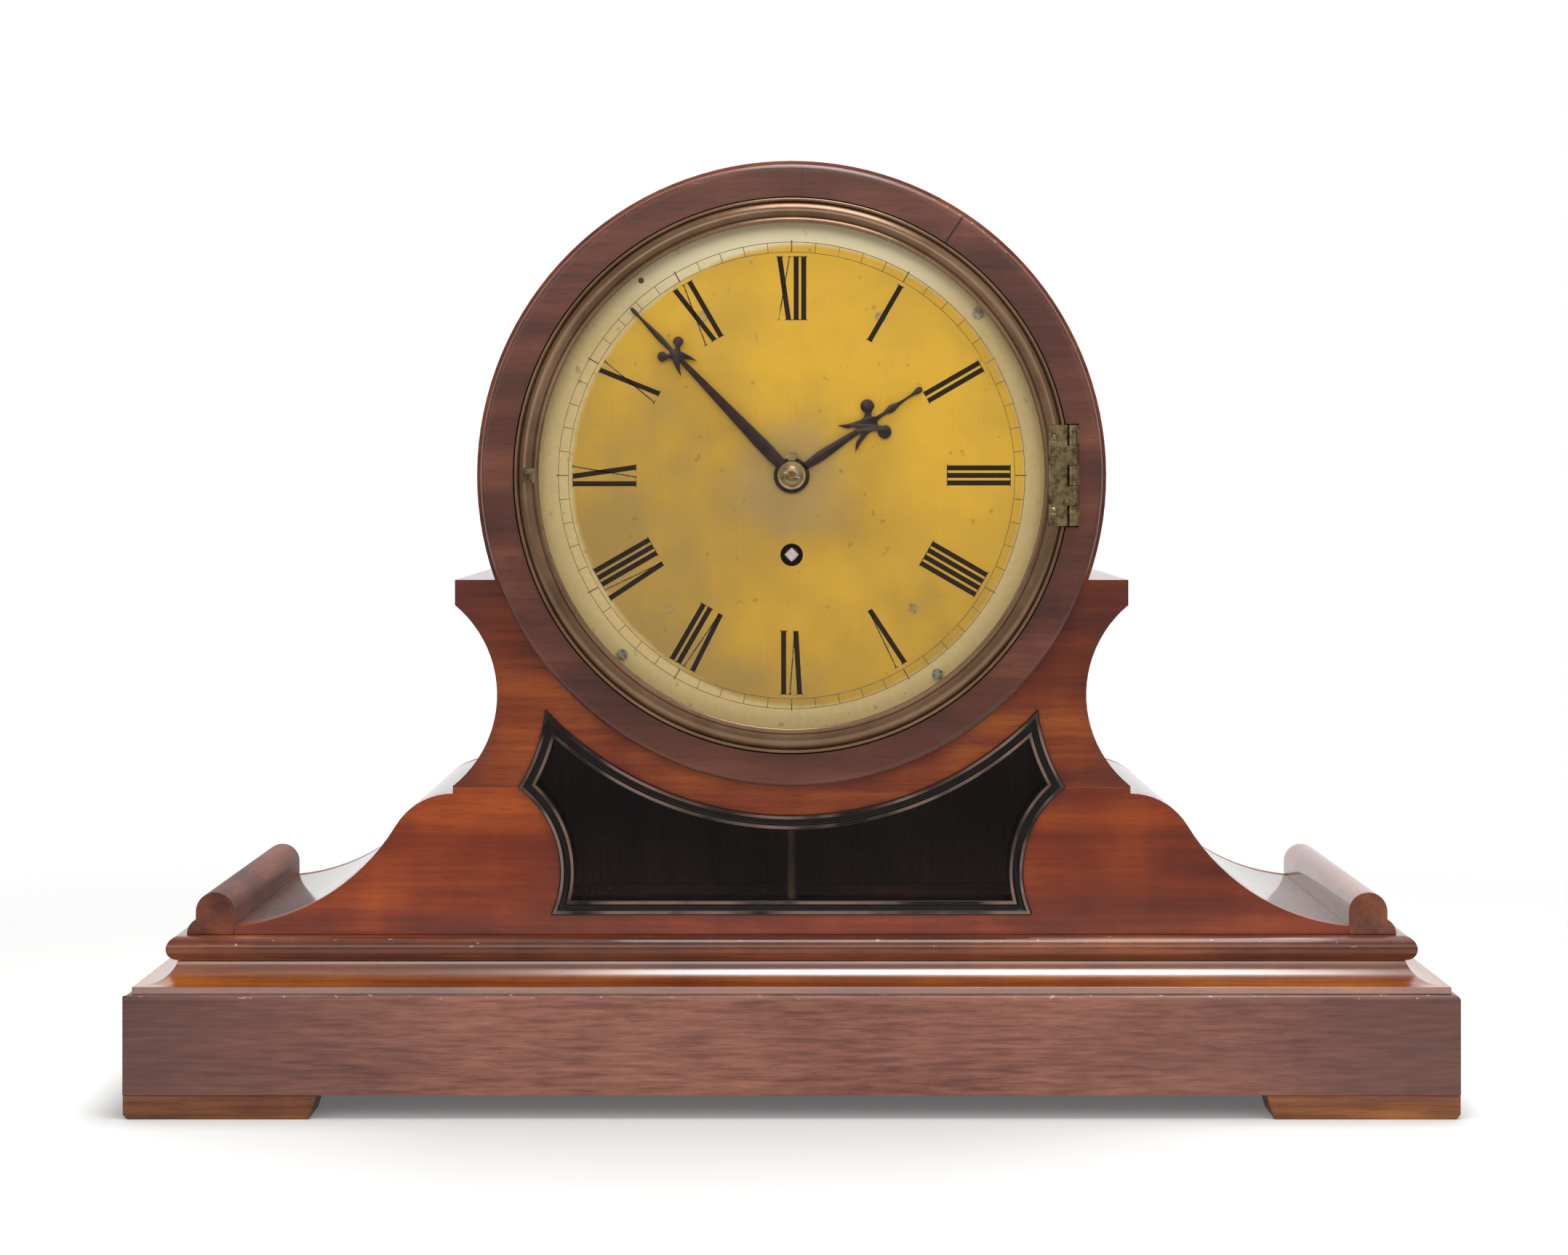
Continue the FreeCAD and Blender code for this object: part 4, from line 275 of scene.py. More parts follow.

# %% [markdown]
# ## The woods of the case
# The front boards are the brightest wood, with orange patches. The raised ring and the plinth are
# darker and duller. Their surface is hazy, so they get less coat. The hollow moulding glows orange,
# and its thick polish reflects strongly. The left roll is painted darker, as shade on that side, and
# has only a thin polish.

# %% Wood finishes
front_wood = mahogany("front mahogany", (84, 27, 12), (132, 55, 20), (172, 87, 28), seed=1.3,
                      figure=0.12, cloud=1.0)
lower_wood = mahogany("lower front mahogany", (86, 25, 8), (131, 48, 13), (172, 76, 18), seed=4.1,
                      figure=0.12, cloud=1.0)
ring_wood = mahogany("ring mahogany", (64, 29, 20), (97, 51, 36), (130, 74, 52), figure=0.1,
                     coat=0.45, coat_rough=0.3, rough=0.46, streak=0.4, seed=2.2)
plinth_wood = mahogany("plinth mahogany", (94, 50, 41), (140, 87, 71), (170, 111, 91), figure=0.08,
                       coat=0.35, coat_rough=0.28, rough=0.48, mitred=True, streak=1.3, seed=6.4,
                       grain=0.45, band=0.5, cloud=0.4)
hollow_wood = mahogany("hollow moulding mahogany", (98, 37, 12), (136, 65, 20), (178, 100, 32),
                       mitred=True, coat=1.0, coat_rough=0.19, seed=3.7, streak=0.7, coat_ior=2.3)
torus_wood = mahogany("half-round mahogany", (66, 26, 12), (104, 50, 26), (146, 78, 42),
                      mitred=True, coat=0.6, coat_rough=0.05, seed=5.2, streak=0.7, coat_ior=1.45)
deck_wood = mahogany("deck mahogany", (58, 30, 26), (92, 54, 44), (124, 78, 64), axis="Y",
                     coat=0.85, coat_rough=0.07, seed=8.8)
roll_wood = mahogany("roll mahogany", (74, 34, 22), (126, 66, 42), (160, 92, 56), axis="Y",
                     coat=0.75, coat_rough=0.07, seed=7.7)
# painted shade: the left roll is a darker copy of the roll wood, with a thin polish
shaded_roll_wood = mahogany("shaded roll mahogany", (70, 32, 22), (112, 58, 40), (146, 82, 54),
                          axis="Y", coat=0.12, coat_rough=0.4, rough=0.6, seed=7.1)
shell_wood = mahogany("drum mahogany", (60, 30, 22), (98, 54, 40), (136, 82, 58), axis="Y",
                      coat=0.8, coat_rough=0.14, seed=9.1)
back_wood = mahogany("back mahogany", (86, 48, 30), (122, 74, 48), (150, 98, 64), axis="Z",
                     coat=0.15, coat_rough=0.4, rough=0.6, seed=11.5)
foot_wood = mahogany("foot mahogany", (74, 38, 22), (122, 70, 38), (164, 102, 52), coat=0.2,
                     coat_rough=0.35, rough=0.55, seed=12.9, streak=0.9)
inside_wood = mahogany("inside wood", (66, 46, 38), (92, 66, 54), (116, 84, 68), coat=0.0,
                       rough=0.8, seed=14.2)
print("woods", 13)

# %% [markdown]
# Old cases carry marks in particular places: a crack across the raised ring at one o'clock, a joint in
# its veneer at the top, and small chips along the upper edge of the plinth. The plinth is painted
# darker towards its ends, as painted shade where the front light falls off. The ring is darker towards
# its foot, and the front boards at their tips and on the right. Each of these is a mask on a place.

# %% Cracks, joints, chips and painted shade
CRACK_ANGLE, CRACK_HALF = 33.5, 0.0005
JOINT_ANGLE, JOINT_HALF = 2.0, 0.0003
CHIPPED_EDGE = (PLINTH_TOP - 0.0016, PLINTH_TOP + 0.001)


def ray_mask(finish, clock_degrees, half_width, offset=0.0):
    """A thin line that runs outwards from the dial at an angle clockwise from twelve."""
    x, y, z = finish.axes(finish.place())
    angle = math.radians(clock_degrees)
    up = z - DIAL_Z
    aside = abs(x * math.cos(angle) - up * math.sin(angle) - offset)
    outward = (x * math.sin(angle) + up * math.cos(angle)) > 0.0
    waver = (finish.noise(0.004, 1) - 0.5) * half_width
    return ((aside + waver) < half_width) * outward


def chips(finish, bottom, top, amount):
    """Small broken spots between two heights."""
    x, y, z = finish.axes(finish.place())
    spots = finish.step(finish.noise((0.004, 0.004, 0.0015), 3), amount, amount + 0.03)
    return spots * (z > bottom) * (z < top)


def beyond(finish, start, end, amount, axis="X", both=True):
    """Grows from 0 to an amount between two distances from the middle of the clock."""
    place = finish.axes(finish.place())["XYZ".index(axis)]
    return finish.step(abs(place) if both else place, start, end) * amount


# painted shade: the plinth is darker towards its ends, where the front light falls off
lay_wear_and_painted_light(plinth_wood, beyond(plinth_wood, 0.10, 0.31, 0.72), (78, 50, 46))
lay_wear_and_painted_light(front_wood, beyond(front_wood, 0.128, 0.150, 0.5), (84, 40, 34))
lay_wear_and_painted_light(front_wood, beyond(front_wood, 0.09, 0.14, 0.2, both=False), (74, 26, 14))
lay_wear_and_painted_light(lower_wood, beyond(lower_wood, 0.08, 0.13, 0.25, both=False), (96, 34, 14))
lay_wear_and_painted_light(ring_wood, beyond(ring_wood, DIAL_Z - 0.07, DIAL_Z - 0.14, 0.4, "Z", both=False), (80, 40, 26))
lay_wear_and_painted_light(ring_wood, ray_mask(ring_wood, CRACK_ANGLE, CRACK_HALF), (34, 16, 12))
lay_wear_and_painted_light(ring_wood, ray_mask(ring_wood, JOINT_ANGLE, JOINT_HALF) * 0.6, (56, 34, 28))
lay_wear_and_painted_light(plinth_wood, chips(plinth_wood, *CHIPPED_EDGE, 0.66), (178, 150, 132))
lay_wear_and_painted_light(torus_wood, chips(torus_wood, high("torus_moulding")[2] - 0.0045, 1.0, 0.69), (176, 142, 120))
print("marks laid on ring, plinth and half-round")

# %% [markdown]
# ## Metals, glass and black moulding
# The dial is brass that was brushed up and down, and has gone pale outside the ring of minutes. The
# bezel is cast brass, browned where hands never rub it. The front of the glass is a thin mirror: it
# reflects by Fresnel and otherwise lets light through, so the dial behind it keeps its colour.

# %% Dial brass
HUB_STAIN = (0.034, 0.010)
BARE_EDGE = (0.1052, 0.1085)


def dial_radius(finish):
    x, y, z = finish.axes(finish.place())
    flat = finish.node("ShaderNodeCombineXYZ", {}, {0: x, 1: 0.0, 2: z - DIAL_Z})
    return finish.node("ShaderNodeVectorMath", {"operation": "LENGTH"}, {0: flat}, "Value")


def dial_brass():
    finish = Finish("dial brass", Metallic=0.35)
    radius = dial_radius(finish)
    x, y, z = finish.axes(finish.place())
    clouds = finish.noise(0.055, 3, None, (4, 0, 1))
    brushed = finish.noise((0.0006, 0.05, 0.05), 2)
    speckle = finish.noise(0.0022, 3)
    leftward = finish.step(x, 0.03, -0.09)
    tone = (clouds - 0.5) * 1.5 + (brushed - 0.5) * 0.16 + (speckle - 0.5) * 0.10 + 0.58
    # painted shade and painted light: the gold is darker towards the bottom and lighter towards the top
    tone = tone + (z - DIAL_Z) * 3.0
    gold = finish.ramp(tone - leftward * 0.22, (0.15, paint(184, 150, 76)),
                       (0.45, paint(212, 166, 58)), (0.85, paint(242, 190, 52)))
    hub = finish.step(radius + (clouds - 0.5) * 0.03, *HUB_STAIN)
    gold = finish.mix(hub * 0.6, gold, paint(186, 156, 104))
    pale = finish.mix(speckle, paint(236, 210, 150), paint(220, 192, 126))
    # painted light: the pale band is lighter towards the top, where the bezel's shade falls
    pale = finish.mix(finish.step(z - DIAL_Z, 0.06, 0.11), pale, paint(255, 240, 196))
    edge = radius + (finish.noise(0.004, 2) - 0.5) * 0.0016 + leftward * 0.006
    outer = finish.step(edge, *BARE_EDGE)
    colour = finish.mix(outer, gold, pale)
    spots = finish.step(finish.noise(0.005, 3, None, (9, 9, 9)), 0.68, 0.74)
    colour = finish.mix(spots * 0.35, colour, paint(120, 92, 48))
    finish.set(Base_Color=colour, Roughness=0.40 + (clouds - 0.5) * 0.2 + (brushed - 0.5) * 0.1,
               Normal=finish.bump(brushed, 0.00002, 0.5))
    return finish


dial_metal = dial_brass()
print("dial brass ready")

# %% Other metals, glass and moulding


def aged_metal(name, dark, light, rough, metallic=0.8, spot=0.006, grain=0.0008):
    finish = Finish(name, Metallic=metallic)
    patina = finish.noise(spot, 4, None, (2, 7, 1), 0.65)
    fine = finish.noise(grain, 2)
    colour = finish.ramp(patina + (fine - 0.5) * 0.2, (0.35, paint(*dark)), (0.62, paint(*light)))
    finish.colour = colour
    finish.set(Base_Color=colour, Roughness=rough + (patina - 0.5) * 0.3,
               Normal=finish.bump(fine + patina, 0.00003, 0.5))
    return finish


def glass_sheet(name, tint, strength):
    finish = Finish(name, Metallic=1.0, Base_Color=paint(*tint), Roughness=0.02)
    fresnel = finish.node("ShaderNodeFresnel", {}, {"IOR": 1.5})
    behind = finish.node("ShaderNodeNewGeometry", {}, {}, "Backfacing")
    smear = finish.step(finish.noise((0.02, 0.02, 0.006), 3), 0.55, 0.9)
    finish.set(Alpha=(fresnel * strength + smear * 0.02) * (1.0 - behind))
    return finish


bezel_metal = aged_metal("bezel brass", (112, 84, 60), (136, 106, 80), 0.26, 0.6, 0.05)
hinge_metal = aged_metal("hinge brass", (82, 68, 46), (150, 130, 92), 0.28, 0.7, 0.004)
collet_metal = aged_metal("collet brass", (134, 112, 74), (180, 156, 108), 0.3, 0.5, 0.004)
# painted shade: near-black brass for the front plate, seen only through the winding hole, stands for
# the shade inside the hole
hole_shade_brass = aged_metal("brass painted as shade", (26, 20, 14), (40, 32, 22), 0.6, 0.3, 0.01)
square_steel = aged_metal("bright steel", (226, 210, 212), (244, 232, 234), 0.5, 0.2, 0.002)
works_metal = aged_metal("movement brass", (150, 116, 58), (196, 160, 92), 0.28, 0.9, 0.02)
steel_metal = aged_metal("steel", (108, 104, 100), (164, 160, 154), 0.3, 0.9, 0.01)
screw_metal = aged_metal("screw steel", (128, 116, 84), (206, 198, 176), 0.3, 0.8, 0.002)
hand_metal = aged_metal("hand steel", (34, 20, 17), (62, 38, 30), 0.34, 0.35)
rod_metal = aged_metal("rod steel", (84, 62, 46), (110, 84, 62), 0.6, 0.2, 0.01)
gut_line = aged_metal("gut", (120, 92, 54), (160, 128, 80), 0.6, 0.0)
door_glass = glass_sheet("bezel glass", (240, 244, 242), 1.0)
pane_glass = glass_sheet("window glass", (225, 232, 230), 1.0)
black_wood = aged_metal("ebonised wood", (18, 13, 10), (30, 22, 17), 0.5, 0.0, 0.01, 0.004)
black_wood.set(Specular_IOR_Level=0.1, Coat_Weight=1.0, Coat_Roughness=0.1, Coat_IOR=1.3)
figure_black = aged_metal("black wax", (30, 17, 10), (48, 30, 20), 0.7, 0.0, 0.001)
figure_black.set(Specular_IOR_Level=0.15)
print("metals and glass ready")

# %% [markdown]
# The minute track has worn away in places. Its finish is a mix of black wax and bare brass, chosen by
# noise, so the lines come and go round the dial.

# %% Worn wax of the minute track


def worn_wax(name, dark, light, bare):
    finish = aged_metal(name, dark, light, 0.5, 0.0, 0.002)
    gone = finish.step(finish.noise(0.016, 2, None, (1, 4, 2)), bare, bare + 0.1)
    broken = finish.step(finish.noise(0.0018, 2), 0.5, 0.6)
    worn = finish.node("ShaderNodeClamp", {}, {0: gone + broken * 0.35})
    lay_wear_and_painted_light(finish, worn, (186, 152, 80))
    return finish


track_wax = worn_wax("worn wax", (84, 72, 42), (118, 100, 60), 0.58)
hairline_wax = worn_wax("faded wax", (52, 38, 22), (84, 66, 38), 0.62)
print("worn wax ready")

# %% [markdown]
# ## Eased edges
# No real edge is sharp. A copy of a CAD node is merged into one skin, its flat faces are dissolved to
# single faces, and a narrow bevel eases each edge, so that it catches the light. Weighted normals keep
# the large faces flat, so that the polish reflects evenly on them.

# %% Copy and ease


def own_copy(node, name):
    piece = bpy.data.objects.new(name, frame["nodes"][node].data.copy())
    bpy.context.scene.collection.objects.link(piece)
    return piece


def merge_skin(piece):
    choose(piece)
    bpy.ops.object.mode_set(mode="EDIT")
    bpy.ops.mesh.select_all(action="SELECT")
    bpy.ops.mesh.remove_doubles(threshold=0.00001)
    bpy.ops.mesh.dissolve_limited(angle_limit=math.radians(0.4))
    bpy.ops.object.mode_set(mode="OBJECT")


def add_modifier(piece, kind, **settings):
    """Adds a modifier, sets it up and applies it."""
    choose(piece)
    bpy.ops.object.modifier_add(type=kind)
    modifier = piece.modifiers[-1]
    for name, value in settings.items():
        setattr(modifier, name, value)
    bpy.ops.object.modifier_apply(modifier=modifier.name)


def smooth(piece, degrees=35):
    choose(piece)
    bpy.ops.object.shade_smooth_by_angle(angle=math.radians(degrees))


def paint_over(piece, finish):
    piece.data.materials.clear()
    piece.data.materials.append(finish.material)


def keep_inside(piece, node):
    """A bevel can throw a point out at a mitred corner; no point leaves the box of the node."""
    corner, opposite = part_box(node)
    for vertex in piece.data.vertices:
        vertex.co = [min(max(v, a), b) for v, a, b in zip(vertex.co, corner, opposite)]


def ease(node, edge, finish, segments=2, limit=30):
    """Replaces a node by a copy of it with eased edges."""
    piece = own_copy(node, node + "_eased")
    merge_skin(piece)
    add_modifier(piece, "BEVEL", width=edge * MM, segments=segments, limit_method="ANGLE",
                 angle_limit=math.radians(limit))
    keep_inside(piece, node)
    smooth(piece)
    add_modifier(piece, "WEIGHTED_NORMAL", weight=100, keep_sharp=True)
    paint_over(piece, finish)
    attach(piece, body_of[node])
    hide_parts(node)
    return piece


EASED = (
    ("feet", 0.7, foot_wood, "dark_mahogany"),
    ("plinth_frame", 0.4, plinth_wood, "dark_mahogany"),
    ("cavetto_moulding", 0.25, hollow_wood, "mahogany"),
    ("torus_moulding", 0.2, torus_wood, "mahogany"),
    ("front_board_lower", 0.25, lower_wood, "mahogany"),
    ("front_board_upper", 0.25, front_wood, "mahogany"),
    ("deck_left", 0.15, deck_wood, "mahogany"),
    ("deck_right", 0.15, deck_wood, "mahogany"),
    ("roll_left", 0.35, shaded_roll_wood, "mahogany"),
    ("roll_right", 0.35, roll_wood, "mahogany"),
    ("waist_side_left", 0.2, shell_wood, "mahogany"),
    ("waist_side_right", 0.2, shell_wood, "mahogany"),
    ("drum_shell", 0.2, shell_wood, "mahogany"),
    ("drum_surround", 0.35, ring_wood, "dark_mahogany"),
    ("back_board", 0.5, back_wood, "mahogany"),
    ("back_door", 0.6, back_wood, "mahogany"),
)
for node, edge, finish, slot in EASED:
    piece = ease(node, edge, finish)
    print(node, len(piece.data.polygons), "faces")

# %% [markdown]
# The black moulding round the window is two beads with a hollow between. Its steps get a wider bevel
# of more segments, which rounds them into beads. Along their crests the black is painted lighter,
# partly as wear and partly as painted highlight.

# %% Window moulding
window_beads = ease("window_moulding", 0.7, black_wood, segments=4)
x, y, z = black_wood.axes(black_wood.place())
crest = y < low("window_moulding")[1] + 0.03 * MM
thin_black_and_highlight = black_wood.step(black_wood.noise(0.03, 2), 0.35, 0.6)
# lighter crests: partly worn black, partly painted highlight on the beads
lay_wear_and_painted_light(black_wood, crest * thin_black_and_highlight, (128, 104, 92))
print("window moulding", len(window_beads.data.polygons), "faces")

# %% [markdown]
# ## Turned pieces
# The bezel is turned on a lathe. Its section is drawn once, as a ring of points, and spun about the
# middle of the dial.

# %% Lathe
LATHE_STEPS = 240
AXIS = 0.0001 * MM


def lathe(name, profile, steps=LATHE_STEPS, x=DIAL_X, z=DIAL_Z):
    """Spins a closed section of (radius, depth) points, in metres, about an axis along Y.
    A solid disc starts at the radius AXIS, and the points there are merged."""
    clear_selection()
    bpy.ops.mesh.primitive_circle_add(vertices=len(profile), fill_type="NOTHING")
    piece = bpy.context.object
    piece.name = name
    for vertex, (radius, depth) in zip(piece.data.vertices, profile):
        vertex.co = (x + radius, depth, z)
    bpy.ops.object.mode_set(mode="EDIT")
    bpy.ops.mesh.select_all(action="SELECT")
    bpy.ops.mesh.spin(steps=steps, angle=2 * math.pi, center=(x, 0, z), axis=(0, 1, 0))
    bpy.ops.mesh.select_all(action="SELECT")
    bpy.ops.mesh.remove_doubles(threshold=0.000001)
    bpy.ops.mesh.normals_make_consistent(inside=False)
    bpy.ops.object.mode_set(mode="OBJECT")
    return piece


def rounded(points, centre, radius, start, end, count):
    """Adds an arc of points to a section; angles in degrees, 0 towards larger radius."""
    for index in range(count + 1):
        angle = math.radians(start + (end - start) * index / count)
        points.append((centre[0] + radius * math.cos(angle), centre[1] + radius * math.sin(angle)))


def finished(piece, finish, slot, body, *replaced):
    smooth(piece)
    paint_over(piece, finish)
    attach(piece, body)
    if replaced:
        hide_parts(*replaced)
    return piece


print("a lathe of", LATHE_STEPS, "steps")

# %% [markdown]
# The section of the bezel has a thin bright fillet outside, a hollow, a broad rounded band, and a lip
# that holds the glass. The catch at nine o'clock and the hinge at three are cut out with a Boolean.

# %% Bezel
BEZEL_BACK = high("bezel")[1]
BEZEL_FRONT = low("bezel")[1]
BEZEL_OUT = high("bezel")[0]
GLASS_OUT = high("bezel_glass")[2] - DIAL_Z
GLASS_FRONT, GLASS_BACK = low("bezel_glass")[1], high("bezel_glass")[1]
SIGHT = GLASS_OUT - 1.5 * MM
FILLET_ROUND, BAND_ROUND, LIP_ROUND = 0.9 * MM, 4.2 * MM, 1.0 * MM
BED_GAP = 0.15 * MM


def bezel_section():
    step = BEZEL_FRONT + 3.1 * MM
    points = [(BEZEL_OUT, BEZEL_BACK), (BEZEL_OUT, step + 0.6 * MM)]
    rounded(points, (BEZEL_OUT - FILLET_ROUND, step + 0.3 * MM), FILLET_ROUND, 0, -180, 8)
    points.append((BEZEL_OUT - 2.2 * MM, step + 0.7 * MM))
    rounded(points, (SIGHT + 5.2 * MM, BEZEL_FRONT + BAND_ROUND), BAND_ROUND, -8, -90, 9)
    points.append((SIGHT + 3.2 * MM, BEZEL_FRONT + 0.2 * MM))
    points.append((SIGHT + 2.6 * MM, BEZEL_FRONT + 0.9 * MM))
    rounded(points, (SIGHT + LIP_ROUND, BEZEL_FRONT + LIP_ROUND), LIP_ROUND, -60, -180, 7)
    points += [(GLASS_OUT, GLASS_FRONT), (GLASS_OUT, GLASS_BACK + 0.8 * MM)]
    points += [(BEZEL_OUT - 6.6 * MM, GLASS_BACK + 3.0 * MM), (BEZEL_OUT - 6.6 * MM, BEZEL_BACK)]
    return points


def cutter(name, corner, opposite):
    """A box between two corners, for a Boolean."""
    clear_selection()
    middle = [(a + b) / 2 for a, b in zip(corner, opposite)]
    bpy.ops.mesh.primitive_cube_add(size=1.0, location=middle)
    box = bpy.context.object
    box.name = name
    box.scale = [abs(b - a) for a, b in zip(corner, opposite)]
    bpy.ops.object.transform_apply(location=True, rotation=False, scale=True)
    return box


def cut_away(piece, *tools):
    for tool in tools:
        add_modifier(piece, "BOOLEAN", operation="DIFFERENCE", object=tool, solver="EXACT")
        bpy.data.objects.remove(tool)


bezel_ring = lathe("bezel_turned", bezel_section())
leaf_low, leaf_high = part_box("bezel_hinge_leaf")
catch_low, catch_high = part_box("bezel_catch")
cut_away(
    bezel_ring,
    cutter("leaf_bed", (leaf_low[0] - BED_GAP, BEZEL_FRONT - MM, leaf_low[2] - BED_GAP),
           (leaf_high[0] + MM, leaf_low[1] + 1.2 * MM, leaf_high[2] + BED_GAP)),
    cutter("barrel_bed", (leaf_high[0] - 5.4 * MM, BEZEL_FRONT - MM, leaf_low[2] - BED_GAP),
           (leaf_high[0] + MM, leaf_high[1] + 0.4 * MM, leaf_high[2] + BED_GAP)),
    cutter("catch_bed", (catch_low[0] - BED_GAP, BEZEL_FRONT - MM, catch_low[2] - BED_GAP),
           (catch_high[0] + 1.1 * MM, catch_high[1], catch_high[2] + BED_GAP)),
)
finished(bezel_ring, bezel_metal, "cast_brass", "bezel_door", "bezel")
bezel_pane = lathe("bezel_pane", [(AXIS, GLASS_FRONT), (GLASS_OUT, GLASS_FRONT),
                                  (GLASS_OUT, GLASS_BACK), (AXIS, GLASS_BACK)])
finished(bezel_pane, door_glass, "clear_glass", "bezel_door", "bezel_glass")
print("bezel", len(bezel_ring.data.polygons), "faces, sight radius", round(SIGHT / MM, 1))

# %% [markdown]
# ## Figures on the dial
# The Roman figures are engraved and filled with black wax, level with the brass. Each stroke is a thin
# slab, thick or hair-thin as a pen would make it, with fine serifs. Four is written with four strokes.

# %% Strokes
FIGURE_IN, FIGURE_OUT = 71.5 * MM, 100.5 * MM
THICK, THIN, SERIF = 2.3 * MM, 0.6 * MM, 0.4 * MM
BROAD_SERIF, FINE_SERIF = THICK + 1.0 * MM, 1.9 * MM
WAX_DEPTH = 0.06 * MM


def slab(corners, front, back):
    """A thin slab whose outline is four (x, z) corners."""
    clear_selection()
    bpy.ops.mesh.primitive_cube_add(size=1.0)
    piece = bpy.context.object
    order = {(-1, -1): 0, (1, -1): 1, (1, 1): 2, (-1, 1): 3}
    for vertex in piece.data.vertices:
        side = (1 if vertex.co.x > 0 else -1, 1 if vertex.co.z > 0 else -1)
        x, z = corners[order[side]]
        vertex.co = (x, front if vertex.co.y < 0 else back, z)
    return piece


def on_dial(aside, radius, angle):
    """A place on the dial, from a sideways step at a radius, turned clockwise from twelve."""
    c, s = math.cos(angle), math.sin(angle)
    return (aside * c + radius * s, DIAL_Z + radius * c - aside * s)


def stroke(bottom, top, width, angle, inner=FIGURE_IN, outer=FIGURE_OUT):
    """A stroke from one sideways place at the inner end to another at the outer end."""
    half = width / 2
    corners = [on_dial(bottom - half, inner, angle), on_dial(bottom + half, inner, angle),
               on_dial(top + half, outer, angle), on_dial(top - half, outer, angle)]
    piece = slab(corners, DIAL_FACE - WAX_DEPTH, DIAL_FACE + WAX_DEPTH)
    piece.name = "fine" if min(width, outer - inner) < MM else "broad"
    return piece


def serif(centre, width, angle, radius):
    return stroke(centre, centre, width, angle, radius - SERIF / 2, radius + SERIF / 2)


def both_serifs(bottom, top, width, angle):
    return [serif(bottom, width, angle, FIGURE_IN), serif(top, width, angle, FIGURE_OUT)]


def figure_one(left, angle):
    middle = left + THICK / 2
    return [stroke(middle, middle, THICK, angle)] + both_serifs(middle, middle, THICK + 1.1 * MM, angle)


def figure_five(left, angle):
    foot = left + 3.1 * MM
    strokes = [stroke(foot - 0.2 * MM, left + THICK / 2, THICK, angle),
               stroke(foot + 0.3 * MM, left + 5.6 * MM, THIN, angle)]
    strokes.append(serif(left + THICK / 2, BROAD_SERIF, angle, FIGURE_OUT))
    strokes.append(serif(left + 5.6 * MM, FINE_SERIF, angle, FIGURE_OUT))
    return strokes


def figure_ten(left, angle):
    near, far = left + THICK / 2, left + 5.7 * MM
    strokes = [stroke(far - 0.4 * MM, near, THICK, angle), stroke(near - 0.4 * MM, far, THIN, angle)]
    strokes.append(serif(near, BROAD_SERIF, angle, FIGURE_OUT))
    strokes.append(serif(far, FINE_SERIF, angle, FIGURE_OUT))
    strokes.append(serif(far - 0.4 * MM, BROAD_SERIF, angle, FIGURE_IN))
    strokes.append(serif(near - 0.4 * MM, FINE_SERIF, angle, FIGURE_IN))
    return strokes


LETTERS = {"I": (figure_one, THICK), "V": (figure_five, 6.2 * MM), "X": (figure_ten, 6.5 * MM)}
LETTER_GAP = 1.15 * MM
HOURS = ("I", "II", "III", "IIII", "V", "VI", "VII", "VIII", "IX", "X", "XI", "XII")


def hour_figure(text, angle):
    width = sum(LETTERS[letter][1] for letter in text) + LETTER_GAP * (len(text) - 1)
    left = -width / 2
    strokes = []
    for letter in text:
        make, step = LETTERS[letter]
        strokes += make(left, angle)
        left += step + LETTER_GAP
    return strokes


def join(pieces, name):
    clear_selection()
    for piece in pieces:
        piece.select_set(True)
    bpy.context.view_layer.objects.active = pieces[0]
    bpy.ops.object.join()
    whole = bpy.context.object
    whole.name = name
    whole.data.name = name
    return whole


strokes = []
for hour, text in enumerate(HOURS, start=1):
    strokes += hour_figure(text, math.radians(30 * hour))
broad = [piece for piece in strokes if piece.name.startswith("broad")]
fine = [piece for piece in strokes if piece.name.startswith("fine")]
print("strokes in the figures", len(broad), "broad,", len(fine), "fine")
finished(join(broad, "hour_figures"), figure_black, "dark_steel", "case")
finished(join(fine, "figure_hairlines"), hairline_wax, "dark_steel", "case")

# %% [markdown]
# The minute track is two fine circles with a mark at each minute between them, and a longer one at
# every fifth.

# %% Minute track
TRACK_IN, TRACK_OUT, TRACK_LINE = 102.6 * MM, 107.2 * MM, 0.26 * MM
MARK_WIDTH, FIFTH_WIDTH, FIFTH_EXTRA = 0.3 * MM, 0.55 * MM, 0.9 * MM


def fine_ring(name, radius):
    front, back = DIAL_FACE - WAX_DEPTH, DIAL_FACE + WAX_DEPTH
    inner, outer = radius - TRACK_LINE / 2, radius + TRACK_LINE / 2
    return lathe(name, [(outer, back), (outer, front), (inner, front), (inner, back)])


def minute_marks():
    marks = []
    for minute in range(60):
        angle = math.radians(6 * minute)
        fifth = minute % 5 == 0
        outer = TRACK_OUT + (FIFTH_EXTRA if fifth else 0.0)
        width = FIFTH_WIDTH if fifth else MARK_WIDTH
        marks.append(stroke(0.0, 0.0, width, angle, TRACK_IN, outer))
    return marks


track = join(minute_marks() + [fine_ring("inner_line", TRACK_IN), fine_ring("outer_line", TRACK_OUT)],
             "minute_track")
finished(track, track_wax, "dark_steel", "case")
print("minute track", len(track.data.polygons), "faces")

# %% [markdown]
# The four feet of the dial are riveted into it, and their ends show as faint round plugs.

# %% Ends of the dial feet
FOOT_PLACES = ((-41, 73), (41, 73), (-56, -61), (56, -61))
PLUG_RADIUS, PLUG_PROUD, PLUG_SUNK = 2.7 * MM, 0.05 * MM, 0.3 * MM


def plug(aside, up):
    front, back = DIAL_FACE - PLUG_PROUD, DIAL_FACE + PLUG_SUNK
    profile = [(AXIS, front), (PLUG_RADIUS * 0.75, front), (PLUG_RADIUS, DIAL_FACE - PLUG_PROUD * 0.3),
               (PLUG_RADIUS, back), (AXIS, back)]
    return lathe("plug", profile, 32, aside, DIAL_Z + up)


